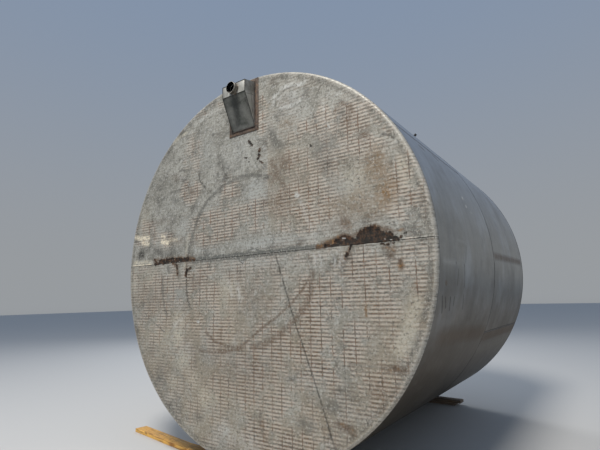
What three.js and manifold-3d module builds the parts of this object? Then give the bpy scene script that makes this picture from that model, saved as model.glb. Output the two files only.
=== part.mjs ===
// Stainless plate storage tank, laid on its side on timber boards.
// Millimetres, +Z up. While the pieces are placed, the tank's axis is the Y axis, y = 0 is the outer
// face of the flat bottom plate and the roof end points along +Y. The last lines move the whole
// assembly so that its origin is at the middle of its footprint, on the ground.
import * as THREE from 'three';
import { mergeVertices } from 'three/addons/utils/BufferGeometryUtils.js';
import Module from 'manifold-3d';

const wasm = await Module();
wasm.setup();

const INCH = 25.4;
const FOOT = 12 * INCH;

// Driving dimensions
const TANK_RADIUS = 6 * FOOT;
const SHELL_PLATE = 3 / 16 * INCH;
const BOTTOM_PLATE = 1 / 4 * INCH;
const ROOF_PLATE = 3 / 16 * INCH;
const COURSE_WIDTH = 1823;
const ROOT_GAP = 6;
const REST_GAP = 0.3;
const FACETS_PER_TURN = 72;
const FACET_SLACK = 0.2;
const SEGMENT_ANGLE = 60;
const MERGE_DISTANCE = 1e-3;
const CUT_CLEARANCE = 10;

const KNUCKLE_RADIUS = 25;
const KNUCKLE_STEPS = 4;
const BOTTOM_SKIRT = 37;
const BOTTOM_SEAM_HEIGHT = 47;
const BEAD_OUTSIDE = 1.5;
const BEAD_INSIDE = 1;

const LOWER_SEAM_ANGLE = 32.5;
const UPPER_SEAM_ANGLE = -24.5;
const GROUND_ANGLE = 270;

const ROOF_SLOPE = 10;
const ROOF_SKIRT = 19;
const ROOF_SECTORS = 4;
const ROOF_FIRST_CUT = 45;
const ROOF_PLATE_GAP = 1.5;

const MANWAY_RADIUS = 10 * INCH;
const MANWAY_WALL = 6.35;
const MANWAY_HEIGHT = 110;
const MANWAY_FLANGE_RADIUS = 302;
const MANWAY_FLANGE = 12.7;
const MANWAY_FACETS = 36;

const VENT_RADIUS = 88.9 / 2;
const VENT_WALL = 5.5;
const VENT_HEIGHT = 130;
const VENT_FLANGE_RADIUS = 95;
const VENT_FLANGE = 14;
const VENT_FACETS = 24;
const VENT_OFFSET = 1120;
const VENT_ANGLE = 90;
const INNER_STUB = 12;

const LUG_COUNT = 2;
const LUG_FIRST_ANGLE = 0;
const LUG_RADIUS_FROM_AXIS = 1560;
const LUG_WIDTH = 110;
const LUG_HEIGHT = 120;
const LUG_THICKNESS = 12.7;
const LUG_HOLE_RADIUS = 19;
const LUG_FACETS = 12;

const SUMP_WIDTH = 12 * INCH;
const SUMP_BASE = 1301;
const SUMP_FOLD = 1619;
const SUMP_FACE_TOP = 1738;
const SUMP_TOP = 1767;
const SUMP_DEPTH = 150;
const SUMP_CENTRE = -12;
const SUMP_PLATE = 3 / 16 * INCH;
const FRAME_BAR_WIDTH = 38;
const FRAME_BAR = 6.35;

const DRAIN_RADIUS = 114.3 / 2;
const DRAIN_WALL = 3.05;
const DRAIN_CENTRE = [-6, 1679];
const DRAIN_END = -203;
const DRAIN_FACETS = 24;

const CLIP_ANGLE = 42;
const CLIP_AT = 1030;
const CLIP_LENGTH = 42;
const CLIP_HEIGHT = 24;
const CLIP_THICKNESS = 6.35;

// Boards: x of the left end, length, and the line y = across + slope * x that the middle follows.
// The left end may be cut askew: its near corner is that much further along the board.
const BOARD_WIDTH = 140;
const BOARD_THICKNESS = 38;
const FRONT_LOWER_BOARD = { end: -2070, length: 8 * FOOT, across: 100, slope: -0.148, skew: 0 };
const FRONT_UPPER_BOARD = { end: -985, length: 6 * FOOT, across: 130, slope: -0.045, skew: 115 };
const REAR_LOWER_BOARD = { end: -1010, length: 6 * FOOT, across: 3613, slope: -0.07, skew: 0 };
const REAR_UPPER_BOARD = { end: -1533.4, length: 8 * FOOT, across: 3613, slope: -0.07, skew: 0 };
const WEDGE_WIDTH = 89;
const WEDGE_TOUCH = 320;
const WEDGE_INNER = 185;
const WEDGE_OUTER = 400;

// Derived places along the axis
const LOWER_COURSE_START = BOTTOM_SKIRT + ROOT_GAP;
const GIRTH_GAP_START = LOWER_COURSE_START + COURSE_WIDTH;
const UPPER_COURSE_START = GIRTH_GAP_START + ROOT_GAP;
const ROOF_GAP_START = UPPER_COURSE_START + COURSE_WIDTH;
const ROOF_START = ROOF_GAP_START + ROOT_GAP;
const SHELL_INNER = TANK_RADIUS - SHELL_PLATE;

const radians = THREE.MathUtils.degToRad;

function material(color, roughness, metalness) {
  return new THREE.MeshStandardMaterial({ color, roughness, metalness });
}

const finishes = {
  bottom: material(0xa39d92, 0.62, 0.55),
  shell: material(0x8f8d86, 0.42, 0.85),
  weld: material(0x5d5850, 0.6, 0.7),
  sump: material(0x6e6d66, 0.55, 0.6),
  rusted: material(0x5b4033, 0.85, 0.35),
  pipe: material(0x5a5349, 0.6, 0.7),
  fitting: material(0x96948d, 0.45, 0.85),
  timber: material(0xb98a5c, 0.85, 0),
  greyTimber: material(0x8b8174, 0.9, 0),
};

const assembly = new THREE.Group();

function addPiece(name, geometry, finish, parent = assembly) {
  const mesh = new THREE.Mesh(geometry, finish.clone());
  mesh.name = name;
  parent.add(mesh);
  return mesh;
}

// Merges shared corners, drops faces that have shrunk to a line and turns all faces outwards.
function closedBody(source) {
  const bare = source.clone();
  bare.deleteAttribute('normal');
  bare.deleteAttribute('uv');
  const merged = mergeVertices(bare, MERGE_DISTANCE);
  const corners = merged.index.array;
  const place = merged.attributes.position;
  const a = new THREE.Vector3();
  const b = new THREE.Vector3();
  const c = new THREE.Vector3();
  const kept = [];
  let volume = 0;
  for (let i = 0; i < corners.length; i += 3) {
    const [i0, i1, i2] = [corners[i], corners[i + 1], corners[i + 2]];
    if (i0 === i1 || i1 === i2 || i2 === i0) continue;
    kept.push(i0, i1, i2);
    a.fromBufferAttribute(place, i0);
    b.fromBufferAttribute(place, i1);
    c.fromBufferAttribute(place, i2);
    volume += a.dot(b.cross(c));
  }
  if (volume < 0) {
    for (let i = 0; i < kept.length; i += 3) [kept[i], kept[i + 1]] = [kept[i + 1], kept[i]];
  }
  merged.setIndex(kept);
  merged.computeVertexNormals();
  return merged;
}

function toSolid(geometry) {
  const closed = closedBody(geometry);
  const vertProperties = new Float32Array(closed.attributes.position.array);
  const triVerts = new Uint32Array(closed.index.array);
  return new wasm.Manifold(new wasm.Mesh({ numProp: 3, vertProperties, triVerts }));
}

function toGeometry(solid) {
  const mesh = solid.getMesh();
  const geometry = new THREE.BufferGeometry();
  geometry.setAttribute('position', new THREE.Float32BufferAttribute(mesh.vertProperties, 3));
  geometry.setIndex(Array.from(mesh.triVerts));
  return closedBody(geometry);
}

// A closed outline in the XZ plane, swept along Y between two places.
function sweepAlongY(points, low, high, holes = []) {
  const shape = new THREE.Shape(points);
  for (const hole of holes) shape.holes.push(new THREE.Path(hole));
  const geometry = new THREE.ExtrudeGeometry(shape, { depth: high - low, bevelEnabled: false });
  geometry.rotateX(Math.PI / 2);
  geometry.translate(0, high, 0);
  return closedBody(geometry);
}

// A closed outline in the YZ plane, swept along X between two places.
function sweepAlongX(points, low, high) {
  const shape = new THREE.Shape(points);
  const geometry = new THREE.ExtrudeGeometry(shape, { depth: high - low, bevelEnabled: false });
  geometry.rotateY(Math.PI / 2);
  geometry.rotateX(Math.PI / 2);
  geometry.translate(low, 0, 0);
  return closedBody(geometry);
}

function box(xLow, xHigh, yLow, yHigh, zLow, zHigh) {
  const geometry = new THREE.BoxGeometry(xHigh - xLow, yHigh - yLow, zHigh - zLow);
  geometry.translate((xLow + xHigh) / 2, (yLow + yHigh) / 2, (zLow + zHigh) / 2);
  return closedBody(geometry);
}

// A profile of [radius, y] points turned round the Y axis.
function turned(profile, facets = FACETS_PER_TURN) {
  const points = profile.map(([radius, y]) => new THREE.Vector2(radius, y));
  return closedBody(new THREE.LatheGeometry(points, facets));
}

function circle(radius, facets, [x, z] = [0, 0]) {
  return Array.from({ length: facets }, (_, i) => {
    const angle = 2 * Math.PI * i / facets;
    return new THREE.Vector2(x + radius * Math.cos(angle), z + radius * Math.sin(angle));
  });
}

// Points along the arc of a knuckle, from one angle to another round a centre [radius, y].
function arc([centreRadius, centreY], radius, from, to) {
  return Array.from({ length: KNUCKLE_STEPS + 1 }, (_, i) => {
    const angle = radians(from + (to - from) * i / KNUCKLE_STEPS);
    return [centreRadius + radius * Math.cos(angle), centreY + radius * Math.sin(angle)];
  });
}

// A curved plate: part of a ring between two angles, swept along the tank's axis.
function curvedPlate(innerRadius, outerRadius, from, to, low, high) {
  const facets = (to - from) * FACETS_PER_TURN / 360;
  const steps = Math.max(1, Math.ceil(facets - FACET_SLACK));
  const rim = (radius) => Array.from({ length: steps + 1 }, (_, i) => {
    const angle = radians(from + (to - from) * i / steps);
    return new THREE.Vector2(radius * Math.cos(angle), radius * Math.sin(angle));
  });
  return sweepAlongY([...rim(outerRadius), ...rim(innerRadius).reverse()], low, high);
}

// Flanged bottom: flat disc, rolled knuckle and a short skirt that the shell is welded to.
function bottomDish(outside = 0, inside = 0) {
  const bend = [TANK_RADIUS - KNUCKLE_RADIUS, KNUCKLE_RADIUS];
  const outer = arc(bend, KNUCKLE_RADIUS + outside, -90, 0);
  const inner = arc(bend, KNUCKLE_RADIUS - BOTTOM_PLATE - inside, 0, -90);
  return turned([
    [0, -outside],
    ...outer,
    [TANK_RADIUS + outside, BOTTOM_SKIRT],
    [TANK_RADIUS - BOTTOM_PLATE - inside, BOTTOM_SKIRT],
    ...inner,
    [0, BOTTOM_PLATE + inside],
  ]);
}

function addBottom() {
  const reach = TANK_RADIUS + CUT_CLEARANCE;
  const halfGap = ROOT_GAP / 2;
  const slab = (low, high) => toSolid(box(
    -reach, reach,
    -CUT_CLEARANCE, BOTTOM_SKIRT + CUT_CLEARANCE,
    low, high,
  ));
  const dish = toSolid(bottomDish());
  const above = slab(BOTTOM_SEAM_HEIGHT + halfGap, reach);
  const below = slab(-reach, BOTTOM_SEAM_HEIGHT - halfGap);
  const inset = SUMP_WIDTH / 2 - SUMP_PLATE;
  const cutOut = toSolid(box(
    SUMP_CENTRE - inset, SUMP_CENTRE + inset,
    -CUT_CLEARANCE, BOTTOM_PLATE + CUT_CLEARANCE,
    SUMP_BASE + 2 * SUMP_PLATE, SUMP_TOP - SUMP_PLATE,
  ));
  addPiece('bottom_plate_upper', toGeometry(dish.intersect(above).subtract(cutOut)), finishes.bottom);
  addPiece('bottom_plate_lower', toGeometry(dish.intersect(below)), finishes.bottom);

  const half = halfGap - REST_GAP;
  const slot = slab(BOTTOM_SEAM_HEIGHT - half, BOTTOM_SEAM_HEIGHT + half);
  const bead = toSolid(bottomDish(BEAD_OUTSIDE, BEAD_INSIDE)).intersect(slot);
  addPiece('bottom_seam_weld', toGeometry(bead), finishes.weld);
}

// A weld bead that fills the gap between two rings of plate.
function ringWeld(name, gapStart, plate) {
  const low = gapStart + REST_GAP;
  const high = gapStart + ROOT_GAP - REST_GAP;
  const inner = TANK_RADIUS - plate - BEAD_INSIDE;
  addPiece(name, turned([
    [inner, low],
    [TANK_RADIUS + BEAD_INSIDE / 2, low],
    [TANK_RADIUS + BEAD_OUTSIDE, (low + high) / 2],
    [TANK_RADIUS + BEAD_INSIDE / 2, high],
    [inner, high],
    [inner, low],
  ]), finishes.weld);
}

function splitArc(from, to) {
  const parts = Math.round((to - from) / SEGMENT_ANGLE);
  return Array.from({ length: parts }, (_, i) => [
    from + (to - from) * i / parts,
    from + (to - from) * (i + 1) / parts,
  ]);
}

// One course of shell plate, cut at its two seams, at the line it rests on and into segments between.
function addCourse(label, seamAngle, start) {
  const firstSeam = (seamAngle + 360) % 360 < 180 ? seamAngle : seamAngle + 180;
  const secondSeam = firstSeam + 180;
  const seamHalf = THREE.MathUtils.radToDeg(ROOT_GAP / 2 / TANK_RADIUS);
  const restHalf = THREE.MathUtils.radToDeg(REST_GAP / 2 / TANK_RADIUS);
  const stops = [firstSeam, secondSeam, GROUND_ANGLE, firstSeam + 360].sort((a, b) => a - b);
  const spans = stops.slice(1).flatMap((stop, i) => splitArc(stops[i], stop));
  const seams = [firstSeam, secondSeam, firstSeam + 360];
  const margin = (angle) => (seams.includes(angle) ? seamHalf : restHalf);
  spans.forEach(([from, to], i) => {
    const plate = curvedPlate(
      SHELL_INNER, TANK_RADIUS,
      from + margin(from), to - margin(to),
      start, start + COURSE_WIDTH,
    );
    addPiece(`${label}_course_plate_${i + 1}`, plate, finishes.shell);
  });

  const beadHalf = THREE.MathUtils.radToDeg((ROOT_GAP / 2 - REST_GAP) / TANK_RADIUS);
  [firstSeam, secondSeam].forEach((angle, i) => {
    const bead = curvedPlate(
      SHELL_INNER - BEAD_INSIDE, TANK_RADIUS + BEAD_OUTSIDE,
      angle - beadHalf, angle + beadHalf,
      start, start + COURSE_WIDTH,
    );
    addPiece(`${label}_course_weld_${i + 1}`, bead, finishes.weld);
  });
}

// Height of the roof cone's outer face above the start of the roof, at a distance from the axis.
const bendEnd = [
  TANK_RADIUS - KNUCKLE_RADIUS + KNUCKLE_RADIUS * Math.sin(radians(ROOF_SLOPE)),
  ROOF_START + ROOF_SKIRT + KNUCKLE_RADIUS * Math.cos(radians(ROOF_SLOPE)),
];
const coneAt = (radius) => bendEnd[1] + (bendEnd[0] - radius) * Math.tan(radians(ROOF_SLOPE));
const ventCentre = [
  VENT_OFFSET * Math.cos(radians(VENT_ANGLE)),
  VENT_OFFSET * Math.sin(radians(VENT_ANGLE)),
];

function addRoof() {
  const bend = [TANK_RADIUS - KNUCKLE_RADIUS, ROOF_START + ROOF_SKIRT];
  const drop = ROOF_PLATE / Math.cos(radians(ROOF_SLOPE));
  const eye = MANWAY_RADIUS + REST_GAP;
  const cone = toSolid(turned([
    [TANK_RADIUS, ROOF_START],
    ...arc(bend, KNUCKLE_RADIUS, 0, 90 - ROOF_SLOPE),
    [eye, coneAt(eye)],
    [eye, coneAt(eye) - drop],
    ...arc(bend, KNUCKLE_RADIUS - ROOF_PLATE, 90 - ROOF_SLOPE, 0),
    [TANK_RADIUS - ROOF_PLATE, ROOF_START],
    [TANK_RADIUS, ROOF_START],
  ]));
  const ventHole = toSolid(sweepAlongY(
    circle(VENT_RADIUS + REST_GAP, VENT_FACETS, ventCentre),
    ROOF_START, coneAt(0),
  ));
  const solid = cone.subtract(ventHole);
  const span = 360 / ROOF_SECTORS;
  const reach = TANK_RADIUS * 2;
  const halfGap = ROOF_PLATE_GAP / 2;
  for (let i = 0; i < ROOF_SECTORS; i += 1) {
    const from = radians(ROOF_FIRST_CUT + i * span);
    const to = radians(ROOF_FIRST_CUT + (i + 1) * span);
    const middle = (from + to) / 2;
    const shift = halfGap / Math.sin((to - from) / 2);
    const tip = new THREE.Vector2(shift * Math.cos(middle), shift * Math.sin(middle));
    const wedge = sweepAlongY([
      tip,
      new THREE.Vector2(tip.x + reach * Math.cos(from), tip.y + reach * Math.sin(from)),
      new THREE.Vector2(tip.x + 2 * reach * Math.cos(middle), tip.y + 2 * reach * Math.sin(middle)),
      new THREE.Vector2(tip.x + reach * Math.cos(to), tip.y + reach * Math.sin(to)),
    ], ROOF_START - CUT_CLEARANCE, coneAt(0) + CUT_CLEARANCE);
    addPiece(`roof_plate_${i + 1}`, toGeometry(solid.intersect(toSolid(wedge))), finishes.shell);
  }
}

// A pipe stub with a flange at its outer end, turned about its own axis.
function flangedNeck(radius, wall, flangeRadius, flange, low, high, facets) {
  return turned([
    [radius - wall, low],
    [radius, low],
    [radius, high - flange],
    [flangeRadius, high - flange],
    [flangeRadius, high],
    [radius - wall, high],
    [radius - wall, low],
  ], facets);
}

function addRoofFittings() {
  const neckLow = coneAt(MANWAY_RADIUS) - INNER_STUB;
  const neckHigh = coneAt(MANWAY_RADIUS) + MANWAY_HEIGHT;
  addPiece('manway_neck', flangedNeck(
    MANWAY_RADIUS, MANWAY_WALL, MANWAY_FLANGE_RADIUS, MANWAY_FLANGE, neckLow, neckHigh, MANWAY_FACETS,
  ), finishes.fitting);
  const coverLow = neckHigh + REST_GAP;
  addPiece('manway_cover', sweepAlongY(
    circle(MANWAY_FLANGE_RADIUS, MANWAY_FACETS), coverLow, coverLow + MANWAY_FLANGE,
  ), finishes.fitting);

  const ventLow = coneAt(VENT_OFFSET) - INNER_STUB;
  const ventHigh = coneAt(VENT_OFFSET) + VENT_HEIGHT;
  const vent = addPiece('vent_nozzle', flangedNeck(
    VENT_RADIUS, VENT_WALL, VENT_FLANGE_RADIUS, VENT_FLANGE, ventLow, ventHigh, VENT_FACETS,
  ), finishes.fitting);
  vent.position.set(ventCentre[0], 0, ventCentre[1]);

  addLiftingLugs();
}

// Plates with an eye that stand on the roof cone, each in a plane through the tank's axis.
function addLiftingLugs() {
  const inner = LUG_RADIUS_FROM_AXIS - LUG_WIDTH / 2;
  const outer = LUG_RADIUS_FROM_AXIS + LUG_WIDTH / 2;
  const base = (radius) => coneAt(radius) + REST_GAP;
  const top = base(inner) + LUG_HEIGHT;
  const chamfer = LUG_WIDTH / 4;
  const outline = new THREE.Shape([
    new THREE.Vector2(inner, base(inner)),
    new THREE.Vector2(outer, base(outer)),
    new THREE.Vector2(outer, top - chamfer),
    new THREE.Vector2(outer - chamfer, top),
    new THREE.Vector2(inner + chamfer, top),
    new THREE.Vector2(inner, top - chamfer),
  ]);
  const eyeCentre = [LUG_RADIUS_FROM_AXIS, top - LUG_WIDTH / 2];
  outline.holes.push(new THREE.Path(circle(LUG_HOLE_RADIUS, LUG_FACETS, eyeCentre)));
  const lug = new THREE.ExtrudeGeometry(outline, { depth: LUG_THICKNESS, bevelEnabled: false });
  lug.translate(0, 0, -LUG_THICKNESS / 2);
  for (let i = 0; i < LUG_COUNT; i += 1) {
    const turn = lug.clone().rotateY(-radians(LUG_FIRST_ANGLE + i * 360 / LUG_COUNT));
    addPiece(`lifting_lug_${i + 1}`, closedBody(turn), finishes.fitting);
  }
}

function addShellClip() {
  const half = THREE.MathUtils.radToDeg(CLIP_THICKNESS / 2 / TANK_RADIUS);
  addPiece('shell_clip', curvedPlate(
    TANK_RADIUS + REST_GAP, TANK_RADIUS + CLIP_HEIGHT,
    CLIP_ANGLE - half, CLIP_ANGLE + half,
    CLIP_AT - CLIP_LENGTH / 2, CLIP_AT + CLIP_LENGTH / 2,
  ), finishes.weld);
}

// Drain sump: outline of its plates in the YZ plane, from the bottom plate out and back to it.
const sumpOutline = [
  [0, SUMP_BASE],
  [-SUMP_DEPTH, SUMP_FOLD],
  [-SUMP_DEPTH, SUMP_FACE_TOP],
  [0, SUMP_TOP],
].map(([y, z]) => new THREE.Vector2(y, z));

function unitAlong(a, b) {
  return b.clone().sub(a).normalize();
}

// Moves the sump outline inwards by one plate, keeping its ends on the face of the bottom plate.
function sumpInside() {
  const lines = sumpOutline.slice(1).map((point, i) => {
    const along = unitAlong(sumpOutline[i], point);
    const inward = new THREE.Vector2(along.y, -along.x);
    return { start: sumpOutline[i].clone().addScaledVector(inward, SUMP_PLATE), along };
  });
  const meet = (p, q) => {
    const cross = p.along.x * q.along.y - p.along.y * q.along.x;
    const between = q.start.clone().sub(p.start);
    const reach = (between.x * q.along.y - between.y * q.along.x) / cross;
    return p.start.clone().addScaledVector(p.along, reach);
  };
  const atFace = (line) => line.start.clone().addScaledVector(line.along, -line.start.x / line.along.x);
  return [atFace(lines[0]), meet(lines[0], lines[1]), meet(lines[1], lines[2]), atFace(lines[2])];
}

// The outline of one sump plate, shortened at both ends so that it stays clear of its neighbours.
function sumpPlateOutline(i, inside) {
  const along = unitAlong(sumpOutline[i], sumpOutline[i + 1]);
  const gap = along.clone().multiplyScalar(REST_GAP);
  return [
    sumpOutline[i].clone().add(gap),
    sumpOutline[i + 1].clone().sub(gap),
    inside[i + 1].clone().sub(gap),
    inside[i].clone().add(gap),
  ];
}

function addSump() {
  const half = SUMP_WIDTH / 2;
  const inner = half - SUMP_PLATE - REST_GAP;
  const inside = sumpInside();
  const fromFace = new THREE.Vector2(-REST_GAP, 0);
  const [floor, face, end] = [0, 1, 2].map((i) => {
    const outline = sumpPlateOutline(i, inside).map((point) => point.add(fromFace));
    return sweepAlongX(outline, SUMP_CENTRE - inner, SUMP_CENTRE + inner);
  });
  const faceAt = -SUMP_DEPTH - REST_GAP;
  const bore = circle(DRAIN_RADIUS - DRAIN_WALL, DRAIN_FACETS, DRAIN_CENTRE);
  const drill = toSolid(sweepAlongY(
    bore,
    faceAt - CUT_CLEARANCE, faceAt + SUMP_PLATE + CUT_CLEARANCE,
  ));
  addPiece('sump_floor', floor, finishes.sump);
  addPiece('sump_end', end, finishes.sump);
  addPiece('drain_face', toGeometry(toSolid(face).subtract(drill)), finishes.sump);

  const side = sumpOutline.map((point) => new THREE.Vector2(Math.min(point.x, -REST_GAP), point.y));
  const addSide = (name, low) => addPiece(name, sweepAlongX(side, low, low + SUMP_PLATE), finishes.sump);
  addSide('sump_side_left', SUMP_CENTRE - half);
  addSide('sump_side_right', SUMP_CENTRE + half - SUMP_PLATE);

  addPiece('drain_pipe', sweepAlongY(
    circle(DRAIN_RADIUS, DRAIN_FACETS, DRAIN_CENTRE),
    DRAIN_END, faceAt - REST_GAP,
    [bore.reverse()],
  ), finishes.pipe);
}

// Flat bars welded into one rectangle round the sump, on the face of the bottom plate.
function addSumpFrame() {
  const left = SUMP_CENTRE - SUMP_WIDTH / 2 - REST_GAP;
  const right = SUMP_CENTRE + SUMP_WIDTH / 2 + REST_GAP;
  const low = SUMP_BASE - REST_GAP;
  const high = SUMP_TOP + REST_GAP;
  const near = -REST_GAP - FRAME_BAR;
  const far = -REST_GAP;
  const bars = box(
    left - FRAME_BAR_WIDTH, right + FRAME_BAR_WIDTH,
    near, far,
    low - FRAME_BAR_WIDTH, high + FRAME_BAR_WIDTH,
  );
  const middle = box(left, right, near - CUT_CLEARANCE, far + CUT_CLEARANCE, low, high);
  addPiece('sump_frame', toGeometry(toSolid(bars).subtract(toSolid(middle))), finishes.rusted);
}

function addBoard(name, { end, length, across, slope, skew }, top, finish) {
  const stand = new THREE.Group();
  const yaw = Math.atan(slope);
  stand.position.set(end, across + slope * end, top - BOARD_THICKNESS);
  stand.rotation.z = yaw;
  assembly.add(stand);
  const outline = new THREE.Shape([
    new THREE.Vector2(skew, -BOARD_WIDTH / 2),
    new THREE.Vector2(length, -BOARD_WIDTH / 2),
    new THREE.Vector2(length, BOARD_WIDTH / 2),
    new THREE.Vector2(0, BOARD_WIDTH / 2),
  ]);
  const board = new THREE.ExtrudeGeometry(outline, { depth: BOARD_THICKNESS, bevelEnabled: false });
  addPiece(name, closedBody(board), finish, stand);
}

// Two wedges driven under the curve of the shell; the sloping face of each is tangent to the shell.
function addWedges(label, { across, slope }, top, finish) {
  const slopeAtTouch = WEDGE_TOUCH / Math.sqrt(TANK_RADIUS ** 2 - WEDGE_TOUCH ** 2);
  const heightAt = (x) => {
    const touch = TANK_RADIUS - Math.sqrt(TANK_RADIUS ** 2 - WEDGE_TOUCH ** 2);
    return touch + slopeAtTouch * (x - WEDGE_TOUCH) - REST_GAP;
  };
  for (const [name, side] of [['left', -1], ['right', 1]]) {
    const points = [
      new THREE.Vector2(side * WEDGE_INNER, top + REST_GAP),
      new THREE.Vector2(side * WEDGE_OUTER, top + REST_GAP),
      new THREE.Vector2(side * WEDGE_OUTER, -TANK_RADIUS + heightAt(WEDGE_OUTER)),
      new THREE.Vector2(side * WEDGE_INNER, -TANK_RADIUS + heightAt(WEDGE_INNER)),
    ];
    const y = across + slope * side * (WEDGE_INNER + WEDGE_OUTER) / 2;
    const wedge = sweepAlongY(points, y - WEDGE_WIDTH / 2, y + WEDGE_WIDTH / 2);
    addPiece(`${label}_wedge_${name}`, wedge, finish);
  }
}

function addTimber() {
  const upperTop = -TANK_RADIUS - REST_GAP;
  const lowerTop = upperTop - BOARD_THICKNESS - REST_GAP;
  addBoard('front_lower_board', FRONT_LOWER_BOARD, lowerTop, finishes.timber);
  addBoard('front_upper_board', FRONT_UPPER_BOARD, upperTop, finishes.timber);
  addBoard('rear_lower_board', REAR_LOWER_BOARD, lowerTop, finishes.greyTimber);
  addBoard('rear_upper_board', REAR_UPPER_BOARD, upperTop, finishes.greyTimber);
  addWedges('front', FRONT_UPPER_BOARD, upperTop, finishes.timber);
  addWedges('rear', REAR_UPPER_BOARD, upperTop, finishes.greyTimber);
}

addBottom();
ringWeld('bottom_rim_weld', BOTTOM_SKIRT, BOTTOM_PLATE);
addCourse('lower', LOWER_SEAM_ANGLE, LOWER_COURSE_START);
ringWeld('girth_weld', GIRTH_GAP_START, SHELL_PLATE);
addCourse('upper', UPPER_SEAM_ANGLE, UPPER_COURSE_START);
ringWeld('roof_rim_weld', ROOF_GAP_START, SHELL_PLATE);
addRoof();
addRoofFittings();
addShellClip();
addSump();
addSumpFrame();
addTimber();

// The origin goes to the middle of the footprint, at ground level.
const extent = new THREE.Box3().setFromObject(assembly);
assembly.position.set(
  -(extent.min.x + extent.max.x) / 2,
  -(extent.min.y + extent.max.y) / 2,
  -extent.min.z,
);

export default assembly;
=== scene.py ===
"""Dresses a plate storage tank that lies on its side on timber boards.

Everything is in metres. The tank's axis runs along +Y, from its flat flanged bottom to its cone roof.
Most places are given from the middle of the bottom plate's outer face and moved to the frame by Place.
"""
from __future__ import annotations

import logging
import math
from collections.abc import Callable, Iterable, Iterator, Sequence
from contextlib import contextmanager
from dataclasses import dataclass
from enum import Enum

import bmesh
import bpy
import numpy as np
from mathutils import Matrix, Vector


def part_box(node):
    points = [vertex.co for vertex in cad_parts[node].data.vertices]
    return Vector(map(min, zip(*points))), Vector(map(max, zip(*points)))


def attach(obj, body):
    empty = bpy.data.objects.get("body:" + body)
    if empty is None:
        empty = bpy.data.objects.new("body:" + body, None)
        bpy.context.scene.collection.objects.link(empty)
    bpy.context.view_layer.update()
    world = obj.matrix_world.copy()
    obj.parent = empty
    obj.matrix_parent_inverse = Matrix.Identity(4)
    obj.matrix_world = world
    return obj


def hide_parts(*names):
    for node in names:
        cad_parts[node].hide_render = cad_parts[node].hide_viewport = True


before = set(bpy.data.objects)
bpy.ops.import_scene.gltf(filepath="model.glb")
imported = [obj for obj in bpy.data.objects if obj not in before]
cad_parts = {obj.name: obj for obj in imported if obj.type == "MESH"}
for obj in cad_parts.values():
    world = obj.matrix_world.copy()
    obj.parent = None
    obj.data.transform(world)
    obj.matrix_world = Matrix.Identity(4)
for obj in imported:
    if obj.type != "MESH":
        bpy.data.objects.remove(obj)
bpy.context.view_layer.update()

LOG = logging.getLogger("storage_tank")
BODY = "root"
INCH = 0.0254
TURN = 2 * math.pi
Colour = tuple[float, float, float]
Pair = tuple[float, float]
Place3 = tuple[float, float, float]
Socket = bpy.types.NodeSocket
Value = Socket | float
Line = np.ndarray | float


class Slot(Enum):
    """Material slots of the record."""

    BOTTOM = "bottom_steel"
    SHELL = "shell_steel"
    WELD = "weld_steel"
    SUMP = "sump_steel"
    RUSTED = "rusted_bar"
    DRAIN = "drain_steel"
    FITTING = "fitting_steel"
    FRESH_TIMBER = "fresh_timber"
    GREY_TIMBER = "grey_timber"


class Tint(Enum):
    """What a mark is made of, with its colour; some tints paint highlights and reflections. Later tints are laid over
    earlier ones.
    """

    GREY = (0.125, 0.122, 0.108)
    SLATE = (0.130, 0.134, 0.122)
    SOOT = (0.030, 0.027, 0.023)
    # Brown stains; on the shell it also paints a reflection of the horizon.
    BROWN = (0.150, 0.105, 0.072)
    OCHRE = (0.235, 0.140, 0.060)
    CLEAN = (0.45, 0.458, 0.430)
    # Chalky scuffs, and also painted glints: white highlights on the shell and on the rust scale.
    CHALK_AND_GLINT = (0.60, 0.60, 0.57)
    # Painted highlights: golden glints of reflected light on the bottom plate.
    GOLDEN_GLINT = (1.0, 0.89, 0.68)
    DUST = (0.50, 0.455, 0.36)
    CREAM = (0.62, 0.57, 0.455)
    PALE = (0.31, 0.305, 0.275)
    BLOOM = (0.15, 0.065, 0.035)
    SCALE = (0.03, 0.018, 0.013)


@dataclass(frozen=True)
class Place:
    """Where the tank lies in the frame: its axis, its bottom's outer face, its radius and its ring seams."""

    axis_x: float
    face_y: float
    axis_z: float
    radius: float
    girth_y: float
    roof_y: float

    @classmethod
    def from_frame(cls) -> Place:
        """Reads the tank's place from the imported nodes.

        Returns:
            The place.
        """
        low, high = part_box("girth_weld")
        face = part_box("bottom_plate_lower")[0].y
        plates = [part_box(f"lower_course_plate_{i}")[0].z for i in range(1, 7)]
        return cls(
            axis_x=(low.x + high.x) / 2,
            face_y=face,
            axis_z=(low.z + high.z) / 2,
            radius=(high.z + low.z) / 2 - min(plates),
            girth_y=(low.y + high.y) / 2 - face,
            roof_y=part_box("upper_course_plate_1")[1].y - face,
        )

    @property
    def origin(self) -> np.ndarray:
        """The middle of the bottom plate's outer face."""
        return np.array([self.axis_x, self.face_y, self.axis_z])

    def moved(self, points: np.ndarray) -> np.ndarray:
        """Moves points from the tank's own place to the frame."""
        return np.asarray(points, dtype=float) + self.origin

    def box(self, node: str) -> tuple[Place3, Place3]:
        """Gives the low and high corners of a node, from the tank's own place."""
        low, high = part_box(node)
        origin = (self.axis_x, self.face_y, self.axis_z)
        return tuple(a - b for a, b in zip(low, origin)), tuple(a - b for a, b in zip(high, origin))


PLACE = Place.from_frame()


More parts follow.
